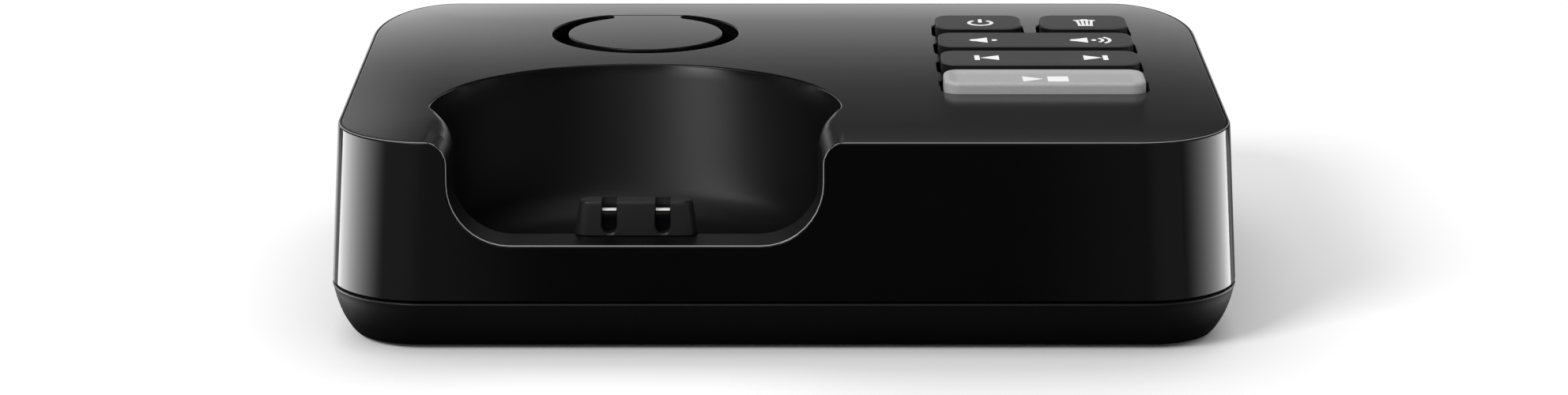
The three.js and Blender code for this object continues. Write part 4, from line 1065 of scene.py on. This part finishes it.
for side, x in zip(("left", "right"), SLOTS):
    piece(f"contact_{side}_leaf", leaf(x), contact_metal, f"contact_{side}",
          [f"contact_{side}"], crease=60)

# %% [markdown]
# ## Feet, screws and sockets
# Four rubber pads sit in the tray's pockets. The screws have a crosshead recess, cut by two crossed bars
# that narrow with depth. The sockets in the back wall are the usual modular ones: a square mouth with a
# notch for the plug's latch, and a row of gold wires that slope down into it.

# %% Feet
# Heights of the pad's rings with how far each is drawn in, and the grip lines across its face.
PAD = [(0, 0.5), (0.07, 0.25), (0.25, 0.08), (0.5, 0), (1.28, 0)]
GRIP_WIDTH, GRIP_LINE, GRIP_DEEP, GRIP_ROWS = 9.5, 0.5, 0.3, (-1.5, 0, 1.5)
for name, (x, y) in FEET.items():
    pad = skin([at_height(rounded(FOOT_WIDTH - 2 * g, FOOT_DEPTH - 2 * g, FOOT_CORNER - g, x, y, 8), z)
                for z, g in PAD])
    grips = [prism(rounded(GRIP_WIDTH, GRIP_LINE, GRIP_LINE / 2 - HAIR, x, y + row, 3), -1, GRIP_DEEP)
             for row in GRIP_ROWS]
    piece(name + "_pad", carve(pad, "DIFFERENCE", *grips), foot_rubber, "housing", [name])

# %% Screws
HEAD_ROUND, THREADS, SCREW_SIDES = 0.35, 12, 28
# A thread's crest and root: shares of the pitch, with a share of the shank's radius for the root.
CREST, ROOT, ROOT_RADIUS = 0.2, 0.7, 0.78
# Half the length and half the width of the recess's bars, as shares of the head's radius.
BAR_LENGTH, BAR_WIDTH = 0.55, 0.14
# Lowest point, the head's radius and height, and the shank's radius and length.
CASE_SCREW, KEY_SCREW = (1.45, 2.7, 1.7, 1.4, 11), (24.6, 1.8, 1.2, 0.9, 5)


def screw(x, y, low, head, rise, radius, length):
    """A screw that stands head down: a rounded head, its shank with a thread, and the recess."""
    rings = [(head - inward, low + up) for up, inward in fillet(HEAD_ROUND)]
    rings += [(head, low + rise), (radius, low + rise)]
    pitch = length / THREADS
    for start in (low + rise + i * pitch for i in range(THREADS)):
        rings += [(radius, start + pitch * CREST), (radius * ROOT_RADIUS, start + pitch * ROOT)]
    rings.append((radius * 0.5, low + rise + length))
    last = SCREW_SIDES - 1
    body = skin([at_height(arc(x, y, r, r, 0, 2 * math.pi * last / SCREW_SIDES, last), z) for r, z in rings])
    long, short = head * BAR_LENGTH, head * BAR_WIDTH
    cross = [skin([at_height(box(x - a * k, x + a * k, y - b * k, y + b * k), z)
                   for k, z in ((1, low - 1), (0.95, low), (0.45, low + rise * 0.75))])
             for a, b in ((long, short), (short, long))]
    return carve(body, "DIFFERENCE", *cross)


CORNERS = ("front_left", "front_right", "rear_left", "rear_right")
for where, spots, sizes in (("case", CASE_POSTS, CASE_SCREW), ("key", KEY_POSTS, KEY_SCREW)):
    for corner, spot in zip(CORNERS, spots):
        name = f"{where}_screw_{corner}"
        piece(name + "_cross", screw(*spot, *sizes), zinc, "housing", [name])

# %% Sockets in the back wall
# A socket's inner and outer end, the rounding of its edges, the mouth's inner end and its corners.
JACK_INNER, JACK_OUTER, JACK_ROUND, MOUTH_END, MOUTH_CORNER = 38.1, 52.6, 0.3, 41.1, 0.2
# The plug lies on the sill. Below it are the notches for its latch, with their widths and depths.
SILL, NOTCHES = 8.5, ((4.2, 1.5), (3, 1.9))
# A wire's radius and length, its distance to the next, its slope in degrees, and where its middle lies.
WIRE, WIRE_LENGTH, WIRE_PITCH, WIRE_SLOPE, WIRE_Y, WIRE_DROP = 0.21, 7.6, 1.02, 62, 47.6, 1.7


def socket_body(x, width, height, mouth, mouth_height):
    """A block with a mouth, a notch below it for the latch, and rounded outer edges."""
    bm = prism(box(x - width / 2, x + width / 2, JACK_INNER, JACK_OUTER), JACK_LOW, JACK_LOW + height)
    bmesh.ops.bevel(bm, geom=bm.edges, affect="EDGES", offset=JACK_ROUND, segments=2, profile=0.5,
                    material=-1)
    # The cutter's depths, with how much it is wider there.
    depths = ((MOUTH_END, 0), (JACK_OUTER - JACK_ROUND, 0),
              (JACK_OUTER + 0.05, JACK_ROUND), (54, JACK_ROUND))
    cuts = [skin([[(px, y, z) for px, z in rounded(w + 2 * g, mouth_height + 2 * g, MOUTH_CORNER + g, x,
                                                   SILL - down + mouth_height / 2, 3)] for y, g in depths])
            for w, down in ((mouth, 0), *NOTCHES)]
    return carve(bm, "DIFFERENCE", *cuts)


def socket_wires(x, mouth_height, count):
    """Round gold wires that slope down from the mouth's roof."""
    bm = bmesh.new()
    slope = Matrix.Rotation(math.radians(WIRE_SLOPE), 3, "X")
    for i in range(count):
        across = x + (i - (count - 1) / 2) * WIRE_PITCH
        made = bmesh.ops.create_cone(bm, cap_ends=True, segments=10, radius1=WIRE, radius2=WIRE,
                                     depth=WIRE_LENGTH)["verts"]
        bmesh.ops.rotate(bm, verts=made, cent=(0, 0, 0), matrix=slope)
        bmesh.ops.translate(bm, verts=made, vec=(across, WIRE_Y, SILL + mouth_height - WIRE_DROP))
    return bm


gold = metal("gold", 214, 0.2, (1, 0.8, 0.42), (1, 0.1, 1))
for name, mouth, mouth_height, count in (("line_jack", 9.9, 7.0, 6), ("power_jack", 7.8, 6.2, 4)):
    body = socket_body(*JACKS[name], mouth, mouth_height)
    piece(name + "_body", body, chip_black, "housing", [name])
    wires = socket_wires(JACKS[name][0], mouth_height, count)
    piece(name + "_wires", wires, gold, "housing")

# %% [markdown]
# ## What keeps its CAD shape
# The boards, the loudspeaker and the small parts inside are already the right shape, so they only get
# finishes. A CAD node's mesh is never changed: its material slots are refilled.

# %% Finishes for the nodes that stay
KEPT = {"main_board": board_green, "key_board": board_green, "key_mat": silicone,
        "key_ribbon": ribbon_film, "speaker_gasket": foam, "speaker_frame": steel, "speaker_cone": paper,
        "speaker_magnet": magnet_steel, "radio_shield": zinc, "processor_chip": chip_black,
        "memory_chip": chip_black, "crystal": steel,
        "capacitor_left": sleeve, "capacitor_right": sleeve, "antenna_left": zinc, "antenna_right": zinc,
        "paging_switch": chip_black}
for name, finish in KEPT.items():
    slots = nodes[name].data.materials
    slots.clear()
    slots.append(finish.material)
bare = sorted(n for n, o in nodes.items() if not o.hide_render and n not in KEPT)
print("nodes that still show without a finish:", bare)

# %% [markdown]
# ## Floor and light
# The photograph shows the base on white, with a soft shadow round it and a longer one to its right. A
# white room lights it evenly, one soft lamp at the front left casts the long shadow, and a weaker one
# behind lifts the back. Together they light the floor to just about white, so a colour comes out about
# as it was written. Rays that reach the camera or mirror the room see it pure white.

# %% Floor
bm = bmesh.new()
bmesh.ops.create_grid(bm, x_segments=1, y_segments=1, size=3)
floor = loose_object(bm, "floor")
floor.visible_glossy = False
ground = Finish("ground", Roughness=0.9, Specular_IOR_Level=0.0)
ground.set(Base_Color=ground.place.noise(300, 1).blend(grey(252), grey(255)))
floor.data.materials.append(ground.material)
print("stage:", floor.name, "with the finish", ground.material.name)


# %% The lamps and the white room
def soft_lamp(name, place, width, height, watts):
    """An area lamp that looks at the base and is itself not mirrored in it."""
    lamp = bpy.data.lights.new(name, "AREA")
    lamp.shape, lamp.size, lamp.size_y, lamp.energy = "RECTANGLE", width, height, watts
    made = bpy.data.objects.new(name, lamp)
    bpy.context.scene.collection.objects.link(made)
    made.location = place
    made.rotation_euler = (-Vector(place)).to_track_quat("-Z", "Y").to_euler()
    made.visible_camera = made.visible_glossy = False


soft_lamp("front_left_lamp", (-0.98, -1.1, 1.0), 0.6, 0.6, 17.5)
soft_lamp("rear_lamp", (0, 0.7, 1.3), 1.3, 1.0, 6.5)
world = bpy.data.worlds.new("room")
bpy.context.scene.world = world
world.use_nodes = True
world.cycles.sampling_method = "NONE"
ray = world.node_tree.nodes.new("ShaderNodeLightPath")
seen, mirrored_ray, through = (Wire(world.node_tree, ray.outputs[f"Is {kind} Ray"])
                               for kind in ("Camera", "Glossy", "Transmission"))
shown = seen.math("MAXIMUM", seen, mirrored_ray.math("MAXIMUM", mirrored_ray, through))
ROOM, WHITE = (0.6, 0.6, 0.6, 1), (1, 1, 1, 1)
background = world.node_tree.nodes["Background"]
world.node_tree.links.new(shown.blend(ROOM, WHITE).socket, background.inputs["Color"])

# %% [markdown]
# ## What the gloss mirrors
# A polished black wall shows nothing but its surroundings. In the photograph those are dark, with a
# bright card beside each front corner, one low behind the deck and a box overhead. Photographers get
# this with a black tent and lit cards. Here they are stage pieces that only glossy rays see, so that
# they neither stand in the picture nor spill light on the floor. The cards at the corners were
# placed by following the view's rays from the corners' bright streaks.

# %% The tent
BLACK = (0, 0, 0, 1)


def only_in_gloss(made):
    """Makes an object a stage piece that only glossy rays see."""
    made.visible_camera = made.visible_diffuse = made.visible_transmission = False
    made.visible_shadow = made.visible_volume_scatter = False
    return made


velvet = Finish("velvet", Base_Color=BLACK, Roughness=1.0, Specular_IOR_Level=0.0)
bm = bmesh.new()
bmesh.ops.create_uvsphere(bm, u_segments=48, v_segments=24, radius=2)
tent = only_in_gloss(loose_object(bm, "tent"))
tent.data.materials.append(velvet.material)
print("a", tent.name, "of", velvet.material.name)


# %% Cards for the front view
def card(name, centre, turn, width, height, strength, *ramps):
    """A lit card, flat at first and then turned a quarter about an axis. X stands it up across the
    view. Y stands it up along the view, with its width upright. Z leaves it flat, with its width along
    y. A ramp names an axis, the places in mm where the light is least and full, and its least share."""
    bm = bmesh.new()
    bmesh.ops.create_grid(bm, x_segments=1, y_segments=1, size=0.5)
    bmesh.ops.scale(bm, vec=(width, height, 1), verts=bm.verts)
    bmesh.ops.rotate(bm, verts=bm.verts, cent=(0, 0, 0), matrix=Matrix.Rotation(QUARTER, 3, turn))
    bmesh.ops.translate(bm, verts=bm.verts, vec=centre)
    made = loose_object(bm, name)
    lit = Finish(name, Base_Color=BLACK, Emission_Strength=strength)
    share = 1.0
    for axis, dim, full, least in ramps:
        along = lit.place.part(axis)
        share = share * along.node("ShaderNodeMapRange", {0: along, 1: dim, 2: full, 3: least},
                                   interpolation_type="SMOOTHSTEP")
    lit.set(Emission_Color=share.blend(BLACK, WHITE) if ramps else WHITE)
    made.data.materials.append(lit.material)
    return only_in_gloss(made)


card("back_card", (-0.03, 0.088, 0.045), "X", 0.3, 0.027, 1.7, (2, 58, 37, 0), (0, -25, -95, 0.62))
card("back_left_card", (-0.11, 0.09, 0.065), "X", 0.1, 0.06, 0.6, (2, 95, 70, 0), (0, -62, -90, 0))
card("far_card", (0, 0.7, 0.42), "X", 0.9, 0.34, 0.3, (2, 255, 325, 0))
card("left_card", (-0.126, -0.0415, 0.007), "Y", 0.054, 0.113, 5, (1, -98, -15, 0.04))
card("right_card", (0.126, -0.0395, 0.007), "Y", 0.054, 0.119, 4.5, (1, -98, 5, 0.03))
card("left_glow", (-0.127, -0.299, -0.023), "Y", 0.114, 0.402, 0.2, (1, -420, -120, 0.55))
card("right_glow", (0.127, -0.299, -0.023), "Y", 0.114, 0.402, 0.17, (1, -420, -120, 0.4))
card("front_left_glow", (-0.094, -0.5, -0.04), "X", 0.066, 0.08, 0.11, (0, -61, -94, 0))
card("front_right_glow", (0.094, -0.5, -0.04), "X", 0.066, 0.08, 0.07, (0, 61, 94, 0))
card("front_card", (-0.02, -1.0, 0.07), "X", 0.3, 0.11, 0.6)
card("lamp_card", (-0.43, -0.56, 0.66), "Z", 0.76, 0.34, 3.7, (0, -810, -430, 0), (0, -50, -430, 0))
top_card = card("top_card", (0, -0.12, 0.7), "Z", 0.7, 0.3, 0.7)
print("cards for the front view, up to", top_card.name)

# %% [markdown]
# ## Cards for the other views
# The other sides need something to mirror as well, or they would be black on black. These cards stand
# where the front view's rays hardly go. A row of them rings the base at some distance: one in front
# for the view from behind, and three at each side, the middle one dim because the cradle mirrors it. A
# flat one lies low on each side, one stands low behind the back wall, and one behind each corner card
# carries its light on.

# %% Cards for the other sides
SKY_LOW, SKY_HIGH = (2, 450, 280, 0), (2, 150, 210, 0)
card("front_sky", (0, -0.75, 0.3), "X", 1.4, 0.3, 0.6, SKY_LOW, SKY_HIGH)
card("rear_glow", (0, 0.3, -0.04), "X", 0.5, 0.16, 0.9, (0, 190, -110, 0.15), (2, 45, -20, 0.3))
for name, side in (("left", -1), ("right", 1)):
    card(name + "_sky", (0.7 * side, 0.05, 0.25), "Y", 0.2, 0.7, 0.25, (2, 350, 220, 0), (2, 160, 220, 0))
    for where, y in (("front", -0.525), ("rear", 0.625)):
        card(f"{name}_{where}_sky", (0.7 * side, y, 0.3), "Y", 0.3, 0.45, 0.6, SKY_LOW, SKY_HIGH)
    card(name + "_ground", (0.65 * side, 0, -0.25), "Z", 2.2, 0.66, 0.4, (0, 330 * side, 600 * side, 0))
    trail = card(name + "_trail", (0.5 * side, 0.155, -0.03), "Y", 0.2, 0.27, 3.5, (1, 260, 10, 0))
    print("cards at the", name, "end with", trail.name)

# %% [markdown]
# ## The camera
# The photograph was taken from a little above, with the lens in line with the case's middle. Its edges
# give the place, the tilt and the focal length. A lens is given in millimetres of a 36 mm wide sensor.

# %% Camera
# The eye's place in metres and its tilt in degrees. The focal length is in pixels of the photograph.
EYE, TILT, PICTURE_WIDTH, FOCAL_PIXELS, SENSOR = (0, -0.73, 0.2006), 14.47, 1984, 5700, 36
eye = bpy.data.cameras.new("eye")
camera = bpy.data.objects.new("camera", eye)
bpy.context.scene.collection.objects.link(camera)
bpy.context.scene.camera = camera
camera.location = EYE
camera.rotation_euler = (math.radians(90 - TILT), 0, 0)
eye.sensor_width, eye.lens = SENSOR, SENSOR * FOCAL_PIXELS / PICTURE_WIDTH
bpy.context.scene.view_settings.view_transform = "Standard"
print("camera at", tuple(round(v, 3) for v in camera.location), "lens", round(eye.lens, 1), "mm")
